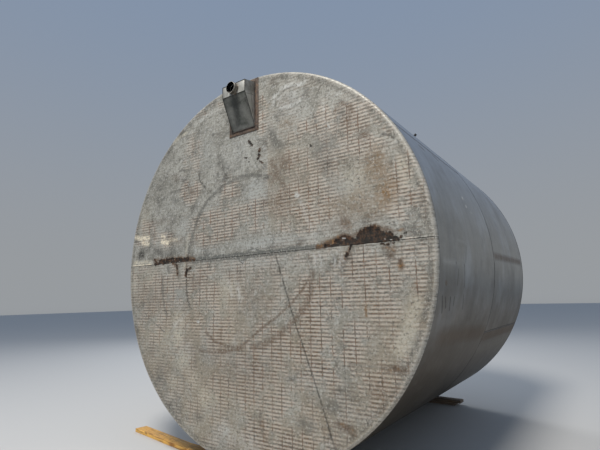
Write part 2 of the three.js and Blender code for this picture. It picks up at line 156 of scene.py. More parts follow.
class Graph:
    """Adds nodes to one node tree and links them."""

    def __init__(self, tree: bpy.types.NodeTree) -> None:
        """Keeps the tree that nodes go into."""
        self.tree = tree

    def node(self, kind: str, **settings: object) -> bpy.types.Node:
        """Adds a node of a kind and sets its properties."""
        made = self.tree.nodes.new(kind)
        for name, value in settings.items():
            setattr(made, name, value)
        return made

    def put(self, socket: Socket, value: object) -> None:
        """Links a socket to an input, or writes a plain value there.

        Args:
            socket: The input.
            value: A socket, a number or a colour.
        """
        if isinstance(value, bpy.types.NodeSocket):
            self.tree.links.new(value, socket)
            return
        if socket.type == "RGBA" and len(value) == 3:
            value = (*value, 1.0)
        socket.default_value = value

    def feed(self, node: bpy.types.Node, **values: object) -> None:
        """Puts values into a node's inputs by name; underscores in the names stand for spaces."""
        for name, value in values.items():
            self.put(node.inputs[name.replace("_", " ")], value)

    def filled(self, node: bpy.types.Node, values: Iterable[object]) -> bpy.types.Node:
        """Puts values into a node's inputs in order and gives the node."""
        for socket, value in zip(node.inputs, values):
            self.put(socket, value)
        return node

    def math(self, operation: str, *values: Value, clamp: bool = False) -> Socket:
        """Adds a Math node."""
        return self.filled(self.node("ShaderNodeMath", operation=operation, use_clamp=clamp), values).outputs[0]

    def times(self, first: Value, *others: Value) -> Socket:
        """Multiplies values in order."""
        for other in others:
            first = self.math("MULTIPLY", first, other)
        return first

    def vector(self, operation: str, *values: object) -> bpy.types.Node:
        """Adds a Vector Math node; the caller picks the output."""
        return self.filled(self.node("ShaderNodeVectorMath", operation=operation), values)

    def sized(self, position: Socket, factor: Value) -> Socket:
        """Makes a vector longer or shorter."""
        made = self.vector("SCALE", position)
        self.feed(made, Scale=factor)
        return made.outputs[0]

    def mix(self, factor: Value, first: object, second: object) -> Socket:
        """Mixes two colours."""
        made = self.node("ShaderNodeMix", data_type="RGBA", blend_type="MIX")
        for number, value in ((0, factor), (6, first), (7, second)):
            self.put(made.inputs[number], value)
        return made.outputs[2]

    def span(self, value: Value, low: float, high: float, to_low: float = 0.0, to_high: float = 1.0) -> Socket:
        """Maps a range smoothly to another and holds it past both ends."""
        made = self.node("ShaderNodeMapRange", interpolation_type="SMOOTHSTEP")
        return self.filled(made, (value, low, high, to_low, to_high)).outputs[0]

    def over(self, colour: object, value: Value, low: float, high: float, share: float, top: object) -> Socket:
        """Lays a share of a colour over another, where a value passes from one limit to the other."""
        return self.mix(self.span(value, low, high, 0.0, share), colour, top)

    def noise(
        self, position: Socket, scale: float, detail: float, roughness: float, stretch: Sequence[float] | None = None
    ) -> Socket:
        """Adds soft noise with a mean near one half, stretched by three factors if they are given."""
        place = self.scaled(position, stretch) if stretch else position
        made = self.node("ShaderNodeTexNoise", noise_dimensions="3D")
        self.feed(made, Vector=place, Scale=scale, Detail=detail, Roughness=roughness)
        return made.outputs["Fac"]

    def scaled(self, position: Socket, factors: Sequence[float]) -> Socket:
        """Stretches a position by three factors."""
        return self.vector("MULTIPLY", position, tuple(factors)).outputs[0]

    def warped(self, position: Socket, scale: float, amount: float) -> Socket:
        """Shakes a position so that what is drawn with it gets a ragged edge.

        Args:
            position: The position.
            scale: How fine the shaking is.
            amount: How far it moves, in metres.

        Returns:
            The shaken position.
        """
        made = self.node("ShaderNodeTexNoise", noise_dimensions="3D")
        self.feed(made, Vector=position, Scale=scale, Detail=3.0)
        centred = self.vector("SUBTRACT", made.outputs["Color"], (0.5, 0.5, 0.5)).outputs[0]
        return self.vector("ADD", position, self.sized(centred, amount)).outputs[0]

    def split(self, position: Socket) -> tuple[Socket, Socket, Socket]:
        """Gives the three parts of a position."""
        return tuple(self.filled(self.node("ShaderNodeSeparateXYZ"), (position,)).outputs[:3])

    def joined(self, x: Value, y: Value, z: Value) -> Socket:
        """Makes a vector of three values."""
        return self.filled(self.node("ShaderNodeCombineXYZ"), (x, y, z)).outputs[0]

    def use(self, group: bpy.types.NodeTree, **values: object) -> bpy.types.NodeOutputs:
        """Places a node group with its inputs and gives its outputs."""
        made = self.node("ShaderNodeGroup", node_tree=group)
        self.feed(made, **values)
        return made.outputs


class Effects:
    """Shader node groups that more than one finish uses, each built once."""

    def __init__(self) -> None:
        """Builds all the groups."""
        self.stroke = self._build_stroke()
        self.spot = self._build_spot()
        self.mottle = self._build_mottle()
        self.rust = self._build_rust()
        self.print = self._build_print()
        self.brushing = self._build_brushing()
        self.grain = self._build_grain()
        self.low_shade_and_runs = self._build_low_shade_and_runs()

    @staticmethod
    def _start(
        name: str, vectors: str, floats: str, colours: str, outputs: str
    ) -> tuple[Graph, bpy.types.NodeOutputs, bpy.types.Node]:
        """Starts a group.

        Args:
            name: The group's name.
            vectors: Names of its vector inputs, with commas between them.
            floats: Names of its number inputs.
            colours: Names of its colour inputs.
            outputs: Names of its outputs, which are numbers, or a colour where the name is Color.

        Returns:
            The group's graph, its inputs and its output node.
        """
        tree = bpy.data.node_groups.new(name, "ShaderNodeTree")
        for kind, names in (("Vector", vectors), ("Float", floats), ("Color", colours)):
            for label in filter(None, names.split(",")):
                tree.interface.new_socket(label, in_out="INPUT", socket_type=f"NodeSocket{kind}")
        for label in outputs.split(","):
            kind = "Color" if label == "Color" else "Float"
            tree.interface.new_socket(label, in_out="OUTPUT", socket_type=f"NodeSocket{kind}")
        graph = Graph(tree)
        return graph, graph.node("NodeGroupInput").outputs, graph.node("NodeGroupOutput")

    @staticmethod
    def _held(g: Graph, value: Socket) -> Socket:
        """Holds a value between 0 and 1."""
        return g.math("MINIMUM", g.math("MAXIMUM", value, 0.0), 1.0)

    def _build_stroke(self) -> bpy.types.NodeTree:
        """A soft line between two points: a scratch, a run or a drip.

        Returns:
            The group.
        """
        g, given, result = self._start("Stroke", "Position,Start,End", "Width,Soft", "", "Mask")
        way = g.vector("SUBTRACT", given["End"], given["Start"]).outputs[0]
        away = g.vector("SUBTRACT", given["Position"], given["Start"]).outputs[0]
        along = g.vector("DOT_PRODUCT", away, way).outputs["Value"]
        length = g.vector("DOT_PRODUCT", way, way).outputs["Value"]
        nearest = g.sized(way, self._held(g, g.math("DIVIDE", along, length)))
        gap = g.vector("DISTANCE", away, nearest).outputs["Value"]
        edge = g.math("ADD", given["Width"], given["Soft"])
        inward = g.math("DIVIDE", g.math("SUBTRACT", edge, gap), given["Soft"])
        g.feed(result, Mask=self._held(g, inward))
        return g.tree

    def _build_spot(self) -> bpy.types.NodeTree:
        """A soft round or oval patch.

        Returns:
            The group.
        """
        g, given, result = self._start("Spot", "Position,Centre,Reach", "Soft", "", "Mask")
        away = g.vector("SUBTRACT", given["Position"], given["Centre"]).outputs[0]
        gap = g.vector("LENGTH", g.vector("DIVIDE", away, given["Reach"]).outputs[0]).outputs["Value"]
        inward = g.math("DIVIDE", g.math("SUBTRACT", 1.0, gap), given["Soft"])
        g.feed(result, Mask=self._held(g, inward))
        return g.tree

    def _build_mottle(self) -> bpy.types.NodeTree:
        """Patchy weathering at three sizes, as a value around one half and as a fine height.

        Returns:
            The group.
        """
        g, given, result = self._start("Mottle", "Position", "Coarse,Medium,Fine", "", "Value,Fine Value,Height")
        position = g.warped(given["Position"], 3.0, 0.08)
        clouds = g.noise(position, given["Coarse"], 5.0, 0.6)
        blots = g.noise(position, given["Medium"], 5.0, 0.65)
        specks = g.noise(given["Position"], given["Fine"], 4.0, 0.7)
        value = g.math("MULTIPLY_ADD", clouds, 0.5, g.times(blots, 0.5))
        height = g.math("MULTIPLY_ADD", blots, 0.5, g.times(specks, 0.5))
        g.feed(result, Value=g.span(value, 0.3, 0.7), Fine_Value=g.span(specks, 0.3, 0.7), Height=height)
        return g.tree

    def _build_rust(self) -> bpy.types.NodeTree:
        """Rust over a colour: a brown and orange bloom, and black-brown scale where a mask says so.

        Returns:
            The group.
        """
        g, given, result = self._start("Rust", "Position", "Mask,Bloom", "Base Color", "Color,Cover,Height")
        position = given["Position"]
        both = g.math("ADD", g.noise(position, 15.0, 6.0, 0.75), g.noise(position, 42.0, 6.0, 0.75))
        ragged = g.math("MULTIPLY_ADD", both, 0.5, -0.5)
        tone = g.noise(position, 24.0, 5.0, 0.7)
        bloom = g.span(g.math("MULTIPLY_ADD", ragged, 2.4, given["Bloom"]), 0.15, 0.92, 0.0, 0.90)
        bloom = g.times(bloom, g.span(given["Bloom"], 0.0, 0.2))
        orange = g.mix(g.span(tone, 0.50, 0.64), (0.088, 0.053, 0.031), (0.250, 0.126, 0.043))
        cover = g.span(g.math("MULTIPLY_ADD", ragged, 3.4, given["Mask"]), 0.38, 0.60)
        cover = g.times(cover, g.span(given["Mask"], 0.0, 0.2))
        scale = g.mix(g.span(tone, 0.46, 0.59), (0.007, 0.005, 0.004), (0.062, 0.031, 0.016))
        scale = g.over(scale, g.noise(position, 90.0, 3.0, 0.6), 0.60, 0.70, 0.55, (0.15, 0.075, 0.036))
        colour = g.mix(bloom, given["Base Color"], orange)
        colour = g.mix(g.times(cover, 0.95), colour, scale)
        height = g.times(cover, g.noise(position, 140.0, 4.0, 0.8))
        g.feed(result, Color=colour, Cover=g.math("MAXIMUM", cover, bloom), Height=height)
        return g.tree

    def _build_print(self) -> bpy.types.NodeTree:
        """The rust print of bar grating, from a point's place counted in rows and in columns.

        Returns:
            The group.
        """
        inputs = "Row,Column,Row Pitch,Column Pitch"
        g, given, result = self._start("Grating print", "", inputs, "", "Bars,Rods,Between")
        gaps = []
        for name in ("Row", "Column"):
            phase = g.math("FRACT", g.math("ADD", given[name], 0.5))
            off = g.math("ABSOLUTE", g.math("SUBTRACT", phase, 0.5))
            gaps.append(g.times(off, given[f"{name} Pitch"]))
        row, column = gaps
        bars, rods = g.span(row, 0.0074, 0.0030), g.span(column, 0.0070, 0.0026)
        g.feed(result, Bars=bars, Rods=rods, Between=g.span(row, 0.0078, 0.0120))
        return g.tree

    def _build_brushing(self) -> bpy.types.NodeTree:
        """Fine parallel streaks left by rolling or brushing, along the axis that is stretched.

        Returns:
            The group.
        """
        g, given, result = self._start("Brushing", "Position,Stretch", "", "", "Value,Height")
        place = g.vector("MULTIPLY", given["Position"], given["Stretch"]).outputs[0]
        fine = g.noise(place, 1.0, 3.0, 0.6)
        broad = g.noise(g.sized(place, 0.12), 1.0, 3.0, 0.6)
        g.feed(result, Value=g.math("MULTIPLY_ADD", fine, 0.45, g.times(broad, 0.55)), Height=fine)
        return g.tree

    def _build_grain(self) -> bpy.types.NodeTree:
        """Sawn softwood with the grain along X: growth bands, fibres, a few knots and end checks.

        Returns:
            The group.
        """
        g, given, result = self._start("Timber grain", "Position", "Weathering", "Light,Dark", "Color,Height")
        position = given["Position"]
        bent = g.warped(g.scaled(position, (0.55, 6.0, 6.0)), 1.1, 0.9)
        bands = g.node("ShaderNodeTexWave", wave_type="BANDS", bands_direction="Y", wave_profile="SIN")
        g.feed(bands, Vector=bent, Scale=3.2, Distortion=2.5, Detail=3.0)
        fibre = g.noise(position, 1.0, 4.0, 0.65, (9.0, 320.0, 320.0))
        blots = g.noise(position, 1.0, 4.0, 0.6, (3.0, 12.0, 12.0))
        growth = g.math("MULTIPLY_ADD", bands.outputs["Fac"], 0.5, g.times(fibre, 0.5))
        colour = g.mix(g.span(growth, 0.3, 0.75), given["Light"], given["Dark"])
        worn = g.times(g.span(blots, 0.42, 0.68), given["Weathering"])
        colour = g.mix(worn, colour, (0.23, 0.20, 0.165))
        slit = g.span(g.noise(position, 1.0, 2.0, 0.5, (2.2, 95.0, 95.0)), 0.31, 0.26)
        knot = g.noise(position, 1.0, 3.0, 0.55, (5.0, 16.0, 16.0))
        colour = g.over(colour, knot, 0.60, 0.70, 0.75, (0.17, 0.075, 0.030))
        colour = g.mix(g.times(slit, 0.8), colour, (0.03, 0.02, 0.014))
        height = g.math("MULTIPLY_ADD", fibre, 0.35, g.times(bands.outputs["Fac"], 0.25))
        g.feed(result, Color=colour, Height=g.math("SUBTRACT", height, slit))
        return g.tree

    def _build_low_shade_and_runs(self) -> bpy.types.NodeTree:
        """Painted shade that darkens a surface the lower it is, in place of the reflection of shaded ground, with
        streaks that run down.

        Returns:
            The group.
        """
        g, given, result = self._start("Low painted shade and runs", "Position", "Top,Bottom", "", "Mask,Runs")
        _, _, z = g.split(given["Position"])
        cloud = g.noise(given["Position"], 2.3, 5.0, 0.6)
        height = g.math("MULTIPLY_ADD", g.math("SUBTRACT", cloud, 0.5), 0.7, z)
        runs = g.noise(given["Position"], 1.0, 4.0, 0.65, (14.0, 14.0, 0.9))
        g.feed(result, Mask=g.span(height, given["Top"], given["Bottom"]), Runs=g.span(runs, 0.48, 0.7))
        return g.tree


EFFECTS = Effects()


def start_material(name: str) -> tuple[bpy.types.Material, Graph, bpy.types.Node]:
    """Starts a node material.

    Args:
        name: The material's name.

    Returns:
        The material, its graph and its Principled BSDF.
    """
    made = bpy.data.materials.new(name)
    made.use_nodes = True
    return made, Graph(made.node_tree), made.node_tree.nodes["Principled BSDF"]


def from_tank(g: Graph) -> Socket:
    """Gives a surface point measured from the middle of the bottom plate's outer face."""
    given = g.node("ShaderNodeTexCoord").outputs["Object"]
    return g.vector("SUBTRACT", given, tuple(PLACE.origin)).outputs[0]


def bump(g: Graph, shader: bpy.types.Node, height: Socket, depth: float, strength: float) -> None:
    """Feeds a height to the shader's normal through a Bump node."""
    made = g.node("ShaderNodeBump")
    g.feed(made, Strength=strength, Distance=depth, Height=height)
    g.feed(shader, Normal=made.outputs["Normal"])


@dataclass(frozen=True)
class Mark:
    """One stroke between two places, measured from the middle of the bottom plate's outer face."""

    tint: Tint
    start: Place3
    end: Place3
    width: float
    soft: float
    strength: float

    def mask(self, g: Graph, position: Socket) -> Socket:
        """Adds the stroke's mask to a graph."""
        made = g.use(
            EFFECTS.stroke, Position=position, Width=self.width, Soft=self.soft, Start=self.start, End=self.end
        )
        return made["Mask"]


@dataclass(frozen=True)
class Patch:
    """One oval patch on the bottom plate: middle and reach in x and z, softness and strength."""

    tint: Tint | None
    middle: Pair
    reach: Pair
    soft: float
    strength: float

    def mask(self, g: Graph, position: Socket) -> Socket:
        """Adds the patch's mask to a graph."""
        centre, reach = (self.middle[0], 0.0, self.middle[1]), (self.reach[0], 1.0, self.reach[1])
        return g.use(EFFECTS.spot, Position=position, Soft=self.soft, Centre=centre, Reach=reach)["Mask"]


def run(tint: Tint, width: float, soft: float, strength: float, *spots: Place3) -> list[Mark]:
    """Makes strokes from each place to the next."""
    return [Mark(tint, a, b, width, soft, strength) for a, b in zip(spots, spots[1:])]


def strokes(tint: Tint, *rows: tuple) -> list[Mark]:
    """Makes strokes on the bottom plate: each row is a width, softness, strength and its places in x and z."""
    return [mark for row in rows for mark in run(tint, *row[:3], *((x, 0.0, z) for x, z in row[3:]))]


def shell_strokes(tint: Tint, *rows: tuple) -> list[Mark]:
    """Makes strokes on the shell.

    Args:
        tint: Their tint.
        rows: Each is a width, softness, strength and its places in degrees up from +X and in y.

    Returns:
        The strokes.
    """
    marks: list[Mark] = []
    for width, soft, strength, *places in rows:
        turned = [(math.radians(turn), y) for turn, y in places]
        spots = [(PLACE.radius * math.cos(turn), y, PLACE.radius * math.sin(turn)) for turn, y in turned]
        marks += run(tint, width, soft, strength, *spots)
    return marks


def patches(tint: Tint | None, *rows: tuple[float, float, float, float, float, float]) -> list[Patch]:
    """Makes patches on the bottom plate: each row is x, z, the reach in x and in z, softness and strength."""
    return [Patch(tint, (x, z), (wide, high), soft, strength) for x, z, wide, high, soft, strength in rows]


def strongest(g: Graph, marks: Iterable[Mark | Patch], position: Socket, total: Value = 0.0) -> Socket:
    """Joins the masks of several marks; the strongest one counts.

    Args:
        g: The material's graph.
        marks: The marks.
        position: The position that draws them.
        total: A mask to start from.

    Returns:
        The joined mask.
    """
    for mark in marks:
        total = g.math("MAXIMUM", total, g.times(mark.mask(g, position), mark.strength))
    return total


def tinted(
    g: Graph, colour: Socket, marks: Iterable[Mark | Patch], place: Socket, grain: Socket, least: float,
    pitch: float = 20.0,
) -> Socket:
    """Lays the marks of each tint over a colour, broken up by noise.

    Args:
        g: The material's graph.
        colour: The colour so far.
        marks: The marks.
        place: The position that draws the marks.
        grain: The position that draws the noise.
        least: The share of a mark that the noise leaves everywhere.
        pitch: How fine the noise is.

    Returns:
        The new colour.
    """
    breakup = g.span(g.noise(grain, pitch, 7.0, 0.76), 0.36, 0.60, least, 1.0)
    for tint in Tint:
        chosen = [mark for mark in marks if mark.tint is tint]
        if chosen:
            colour = g.mix(g.times(strongest(g, chosen, place), breakup), colour, tint.value)
    return colour


SEAM_Z = 0.047
SEAM_GAP = 0.006
BOTTOM_RIM_Y = 0.040
LOWER_SEAMS = (32.5, 212.5)
UPPER_SEAMS = (155.5, 335.5)

SCALE_MARKS = strokes(
    Tint.SCALE,
    (0.002, 0.024, 0.85, (-1.37, 0.098), (-1.35, 0.08), (-1.31, 0.06)),
    (0.004, 0.026, 1.0, (-1.36, 0.05), (-1.24, 0.058), (-1.1, 0.06), (-0.95, 0.062), (-0.8, 0.06)),
    (0.003, 0.026, 0.9, (-1.28, 0.078), (-1.23, 0.088), (-1.12, 0.078), (-1.06, 0.088), (-0.92, 0.076),
     (-0.8, 0.078)),
    (0.002, 0.016, 0.8, (-0.8, 0.058), (-0.7, 0.054)),
    (0.001, 0.03, 0.66, (-1.0, 0.03), (-0.984, 0.003), (-0.97, -0.071)),
    (0.003, 0.034, 0.75, (-0.826, -0.04), (-0.83, -0.096)),
    (0.003, 0.03, 0.78, (-0.83, -0.096), (-0.815, -0.055), (-0.79, -0.04), (-0.762, -0.028)),
    (0.004, 0.018, 0.9, (0.9, 0.056), (1.02, 0.06), (1.12, 0.058)),
    (0.007, 0.026, 0.85, (1.0, 0.084), (1.07, 0.11), (1.13, 0.098), (1.18, 0.078)),
    (0.006, 0.022, 0.9, (1.03, 0.076), (1.13, 0.08)),
    (0.012, 0.022, 1.0, (1.14, 0.06), (1.24, 0.064), (1.38, 0.064), (1.5, 0.058)),
    (0.016, 0.036, 1.0, (1.22, 0.1), (1.275, 0.142), (1.335, 0.148), (1.37, 0.112)),
    (0.018, 0.034, 0.97, (1.26, 0.09), (1.4, 0.092), (1.47, 0.086)),
    (0.006, 0.026, 0.85, (1.5, 0.07), (1.535, 0.052)),
    (0.002, 0.028, 0.75, (1.555, 0.062), (1.6, 0.092)),
    (0.001, 0.03, 0.75, (1.4, 0.03), (1.45, 0.018), (1.49, 0.03)),
    (0.001, 0.03, 0.7, (1.14, 0.04), (1.118, 0.005), (1.1, -0.046)),
    (0.001, 0.026, 0.85, (0.055, 1.172), (0.098, 1.118)),
    (0.001, 0.02, 0.7, (0.06, 1.11), (0.1, 1.122)),
    (0.002, 0.022, 0.8, (0.005, 1.014), (0.024, 1.006)),
    (0.002, 0.02, 0.8, (0.045, 0.962), (0.06, 0.96)),
    (0.002, 0.026, 0.85, (0.19, 1.062), (0.184, 1.036)),
    (0.003, 0.032, 0.9, (0.182, 1.0), (0.168, 0.968)),
    (0.001, 0.024, 0.7, (0.2, 0.935), (0.225, 0.915)),
    (0.001, 0.022, 0.62, (0.76, 0.986), (0.792, 0.952)),
)

BLOOM_MARKS = strokes(
    Tint.BLOOM,
    (0.006, 0.05, 0.8, (-1.37, 0.09), (-1.2, 0.082), (-0.98, 0.086), (-0.72, 0.066)),
    (0.008, 0.03, 0.85, (-1.045, 0.04), (-0.984, 0.003), (-0.972, -0.075)),
    (0.008, 0.04, 0.65, (-0.826, 0.02), (-0.826, -0.095)),
    (0.004, 0.05, 0.5, (-0.84, 0.11), (-0.74, 0.09)),
    (0.006, 0.036, 1.0, (0.82, 0.056), (0.9, 0.062), (0.98, 0.092), (1.07, 0.122), (1.15, 0.104)),
    (0.01, 0.04, 0.75, (1.16, 0.11), (1.28, 0.165), (1.36, 0.16), (1.5, 0.11)),
    (0.003, 0.024, 0.6, (1.5, 0.122), (1.585, 0.118)),
    (0.015, 0.07, 0.5, (1.08, 0.25), (1.12, 0.19)),
    (0.006, 0.034, 0.65, (1.13, 0.03), (1.09, -0.06)),
    (0.01, 0.05, 0.62, (1.42, 0.01), (1.5, -0.03), (1.47, -0.06)),
    (0.006, 0.05, 0.4, (0.19, 1.04), (0.205, 0.925)),
    (0.006, 0.04, 0.75, (1.545, -0.11), (1.55, -0.15)),
    (0.01, 0.06, 0.45, (0.2, -1.42), (0.24, -1.55)),
    (0.015, 0.06, 0.5, (0.98, -1.33), (1.1, -1.36)),
    (0.01, 0.06, 0.5, (1.4, -0.89), (1.53, -0.88)),
    (0.008, 0.06, 0.35, (1.61, -0.44), (1.66, -0.3)),
)

STAIN_MARKS = [
    *strokes(
        Tint.GREY,
        (0.01, 0.02, 0.86, (-0.805, 0.08), (-0.78, 0.2), (-0.738, 0.33), (-0.674, 0.459), (-0.6, 0.579),
         (-0.515, 0.655), (-0.419, 0.714), (-0.33, 0.762), (-0.238, 0.795), (-0.14, 0.815), (-0.03, 0.825),
         (0.06, 0.822), (0.15, 0.805), (0.3, 0.76)),
        (0.006, 0.02, 0.75, (-1.215, -0.1), (-1.215, -0.26), (-1.18, -0.4), (-1.13, -0.52)),
        (0.005, 0.014, 0.75, (-1.2, -0.2), (-1.184, -0.35), (-1.154, -0.456), (-1.124, -0.53)),
        (0.002, 0.01, 0.75, (-1.515, -0.486), (-1.41, -0.56), (-1.29, -0.62), (-1.154, -0.687)),
        (0.002, 0.012, 0.5, (-1.29, 0.0), (-1.275, -0.125)),
        (0.004, 0.016, 0.6, (0.755, -0.04), (0.765, -0.17), (0.736, -0.33)),
        (0.006, 0.02, 0.6, (-1.35, 0.82), (-1.29, 0.7)),
        (0.004, 0.016, 0.6, (-0.92, 0.74), (-0.88, 0.67)),
        (0.01, 0.025, 0.4, (-1.36, 0.67), (-1.27, 0.77), (-1.11, 0.84), (-0.95, 0.83)),
        (0.024, 0.03, 0.68, (0.34, 1.2), (0.38, 1.08), (0.46, 1.03)),
        (0.012, 0.03, 0.55, (0.195, 1.6), (0.2, 1.47)),
        (0.004, 0.014, 0.7, (0.39, 1.44), (0.4, 1.5), (0.51, 1.578), (0.64, 1.58)),
        (0.003, 0.014, 0.65, (0.45, 1.375), (0.57, 1.366), (0.69, 1.394)),
        (0.004, 0.016, 0.6, (0.72, 1.45), (0.766, 1.495)),
        (0.003, 0.01, 0.55, (1.08, -0.876), (1.47, -0.882)),
        (0.003, 0.01, 0.55, (1.52, -0.62), (1.73, -0.46)),
        (0.006, 0.014, 0.4, (1.1, -0.03), (1.06, -0.13), (0.94, -0.27), (0.85, -0.31)),
    ),
    *strokes(
        Tint.SOOT,
        (0.022, 0.055, 1.0, (-1.634, 0.17), (-1.614, 0.192)),
        (0.01, 0.036, 0.6, (-1.31, 0.205), (-1.27, 0.17), (-1.24, 0.13)),
        (0.006, 0.03, 0.45, (-1.18, 0.138), (-1.05, 0.135)),
        (0.012, 0.03, 0.6, (-1.126, -0.008), (-1.113, -0.036)),
        (0.006, 0.014, 0.75, (-0.824, -0.12), (-0.815, -0.26), (-0.794, -0.35), (-0.764, -0.425)),
        (0.001, 0.01, 0.5, (-0.87, -0.465), (-0.8, -0.46), (-0.705, -0.447)),
        (0.0042, 0.008, 0.8, (0.375, 0.012), (0.57, -0.56), (0.75, -1.01), (0.93, -1.507)),
        (0.004, 0.009, 0.5, (-0.607, -0.018), (-0.5, -0.14)),
        (0.006, 0.014, 0.75, (-0.66, 0.954), (-0.63, 0.88), (-0.555, 0.8)),
        (0.003, 0.01, 0.4, (-0.49, 0.39), (-0.45, 0.34)),
        (0.004, 0.016, 0.75, (-0.985, 1.06), (-0.93, 1.075), (-0.89, 1.045)),
        (0.008, 0.03, 0.6, (-1.185, 1.325), (-1.16, 1.335)),
        (0.006, 0.026, 0.5, (-1.3, 1.235), (-1.285, 1.245)),
        (0.008, 0.045, 0.45, (-0.36, 1.1), (-0.31, 1.0), (-0.27, 0.86)),
        (0.006, 0.022, 0.6, (-0.452, 1.362), (-0.446, 1.356)),
        (0.002, 0.01, 0.5, (-1.05, 0.83), (-0.98, 0.855), (-0.93, 0.85)),
        (0.001, 0.01, 0.6, (0.856, 1.405), (0.9, 1.48), (0.96, 1.51)),
        (0.003, 0.014, 0.8, (1.46, 0.895), (1.5, 0.885), (1.555, 0.84)),
        (0.002, 0.009, 0.5, (0.8, -0.4), (0.84, -0.44), (0.9, -0.42)),
    ),
    *strokes(
        Tint.BROWN,
        (0.006, 0.018, 0.8, (-0.51, -0.675), (-0.389, -0.756), (-0.24, -0.8), (0.0, -0.798)),
        (0.007, 0.018, 0.8, (-0.6, -0.855), (-0.42, -0.86), (-0.24, -0.843), (0.0, -0.8)),
        (0.016, 0.026, 0.64, (0.766, -0.16), (0.736, -0.35), (0.646, -0.486), (0.526, -0.59), (0.39, -0.68),
         (0.24, -0.756), (0.09, -0.795)),
        (0.005, 0.014, 0.85, (0.75, -0.17), (0.676, -0.275), (0.54, -0.41), (0.39, -0.515), (0.21, -0.62),
         (0.06, -0.726), (-0.05, -0.79)),
        (0.01, 0.03, 0.65, (1.05, 1.21), (1.11, 1.25), (1.18, 1.22), (1.2, 1.15), (1.15, 1.1)),
        (0.012, 0.03, 0.7, (0.34, 0.9), (0.4, 0.76), (0.47, 0.66), (0.5, 0.58)),
        (0.008, 0.02, 0.6, (0.18, -1.33), (0.18, -1.42)),
    ),
    *strokes(
        Tint.OCHRE,
        (0.02, 0.09, 0.34, (1.4, 0.76), (1.44, 0.65), (1.455, 0.55), (1.49, 0.46), (1.47, 0.37), (1.4, 0.31),
         (1.32, 0.305), (1.14, 0.34), (0.96, 0.38)),
        (0.004, 0.014, 0.8, (1.246, -0.43), (1.246, -0.51)),
    ),
    *strokes(
        Tint.CREAM,
        (0.02, 0.06, 0.55, (1.64, -0.42), (1.57, -0.63), (1.5, -0.75)),
        (0.004, 0.024, 0.4, (-0.815, 0.32), (-0.835, 0.16), (-0.86, -0.02)),
        (0.006, 0.022, 0.7, (-1.1, 1.41), (-1.02, 1.455), (-0.88, 1.49)),
    ),
]

SEAM_SMEAR = strokes(
    Tint.SLATE,
    (0.013, 0.016, 1.0, (-0.78, 0.058), (-0.45, 0.056), (-0.1, 0.06), (0.3, 0.054), (0.62, 0.058), (0.9, 0.05)),
    (0.006, 0.014, 0.8, (-0.75, 0.03), (-0.3, 0.028), (0.2, 0.03), (0.5, 0.026)),
    (0.008, 0.014, 0.95, (-0.1, 0.035), (-0.028, -0.018), (0.03, 0.035)),
    (0.004, 0.012, 0.8, (-0.52, 0.075), (-0.47, 0.112), (-0.44, 0.075)),
    (0.005, 0.012, 0.85, (0.0, 0.07), (0.1, 0.104), (0.2, 0.072)),
    (0.004, 0.02, 0.55, (0.24, 0.07), (0.34, 0.11), (0.36, 0.2)),
    (0.006, 0.012, 0.7, (0.5, 0.07), (0.56, 0.082), (0.62, 0.07)),
)

CHALK_MARKS = strokes(
    Tint.CHALK_AND_GLINT,
    (0.004, 0.026, 0.9, (0.36, 1.465), (0.375, 1.54), (0.48, 1.6), (0.6, 1.6), (0.676, 1.564), (0.736, 1.585)),
    (0.003, 0.026, 0.8, (0.45, 1.405), (0.57, 1.39), (0.676, 1.414)),
    (0.003, 0.024, 0.6, (0.42, 1.5), (0.5, 1.53), (0.62, 1.5), (0.6, 1.47)),
    (0.002, 0.03, 0.4, (-0.72, 1.55), (-0.5, 1.62), (-0.3, 1.63)),
    (0.002, 0.045, 0.6, (-0.1, -0.22), (-0.06, -0.36)),
    (0.002, 0.04, 0.5, (-0.21, -0.2), (-0.16, -0.33)),
    (0.002, 0.04, 0.45, (-1.0, -0.62), (-0.92, -0.57), (-0.8, -0.48)),
    (0.006, 0.016, 1.0, (-0.64, -0.575), (-0.62, -0.575)),
    (0.008, 0.024, 1.0, (0.62, 0.535), (0.63, 0.53)),
    (0.003, 0.02, 0.8, (0.93, 1.28), (0.935, 1.25)),
    (0.002, 0.012, 0.6, (0.92, 1.18), (0.98, 1.08)),
    (0.004, 0.12, 0.45, (-0.3, -1.56), (0.05, -1.64)),
    (0.003, 0.028, 0.4, (0.65, 0.49), (0.72, 0.31), (0.8, 0.13)),
    (0.003, 0.014, 0.9, (-0.235, -1.55), (-0.21, -1.52), (-0.185, -1.55)),
    (0.003, 0.006, 0.9, (0.07, 0.086), (0.13, 0.088)),
    (0.002, 0.006, 0.9, (-0.04, -0.01), (-0.02, -0.012)),
    (0.003, 0.014, 0.6, (0.78, 0.0), (0.8, -0.05), (0.8, -0.1)),
    (0.003, 0.014, 0.6, (0.83, 0.01), (0.86, -0.05), (0.85, -0.11)),
    (0.003, 0.014, 0.6, (0.95, 0.0), (0.99, -0.06), (0.98, -0.12)),
    (0.003, 0.014, 0.6, (1.0, 0.0), (1.04, -0.06), (1.03, -0.12)),
    (0.003, 0.014, 0.5, (1.05, -0.03), (1.07, -0.09)),
)

# Painted highlights: small white glints on the rust scale.
RUST_GLINT_MARKS = strokes(
    Tint.CHALK_AND_GLINT,
    (0.001, 0.004, 0.95, (1.064, 0.105), (1.092, 0.102)),
    (0.0, 0.004, 0.8, (1.43, 0.063), (1.436, 0.06)),
    (0.0, 0.004, 0.7, (1.475, 0.053), (1.49, 0.051)),
)
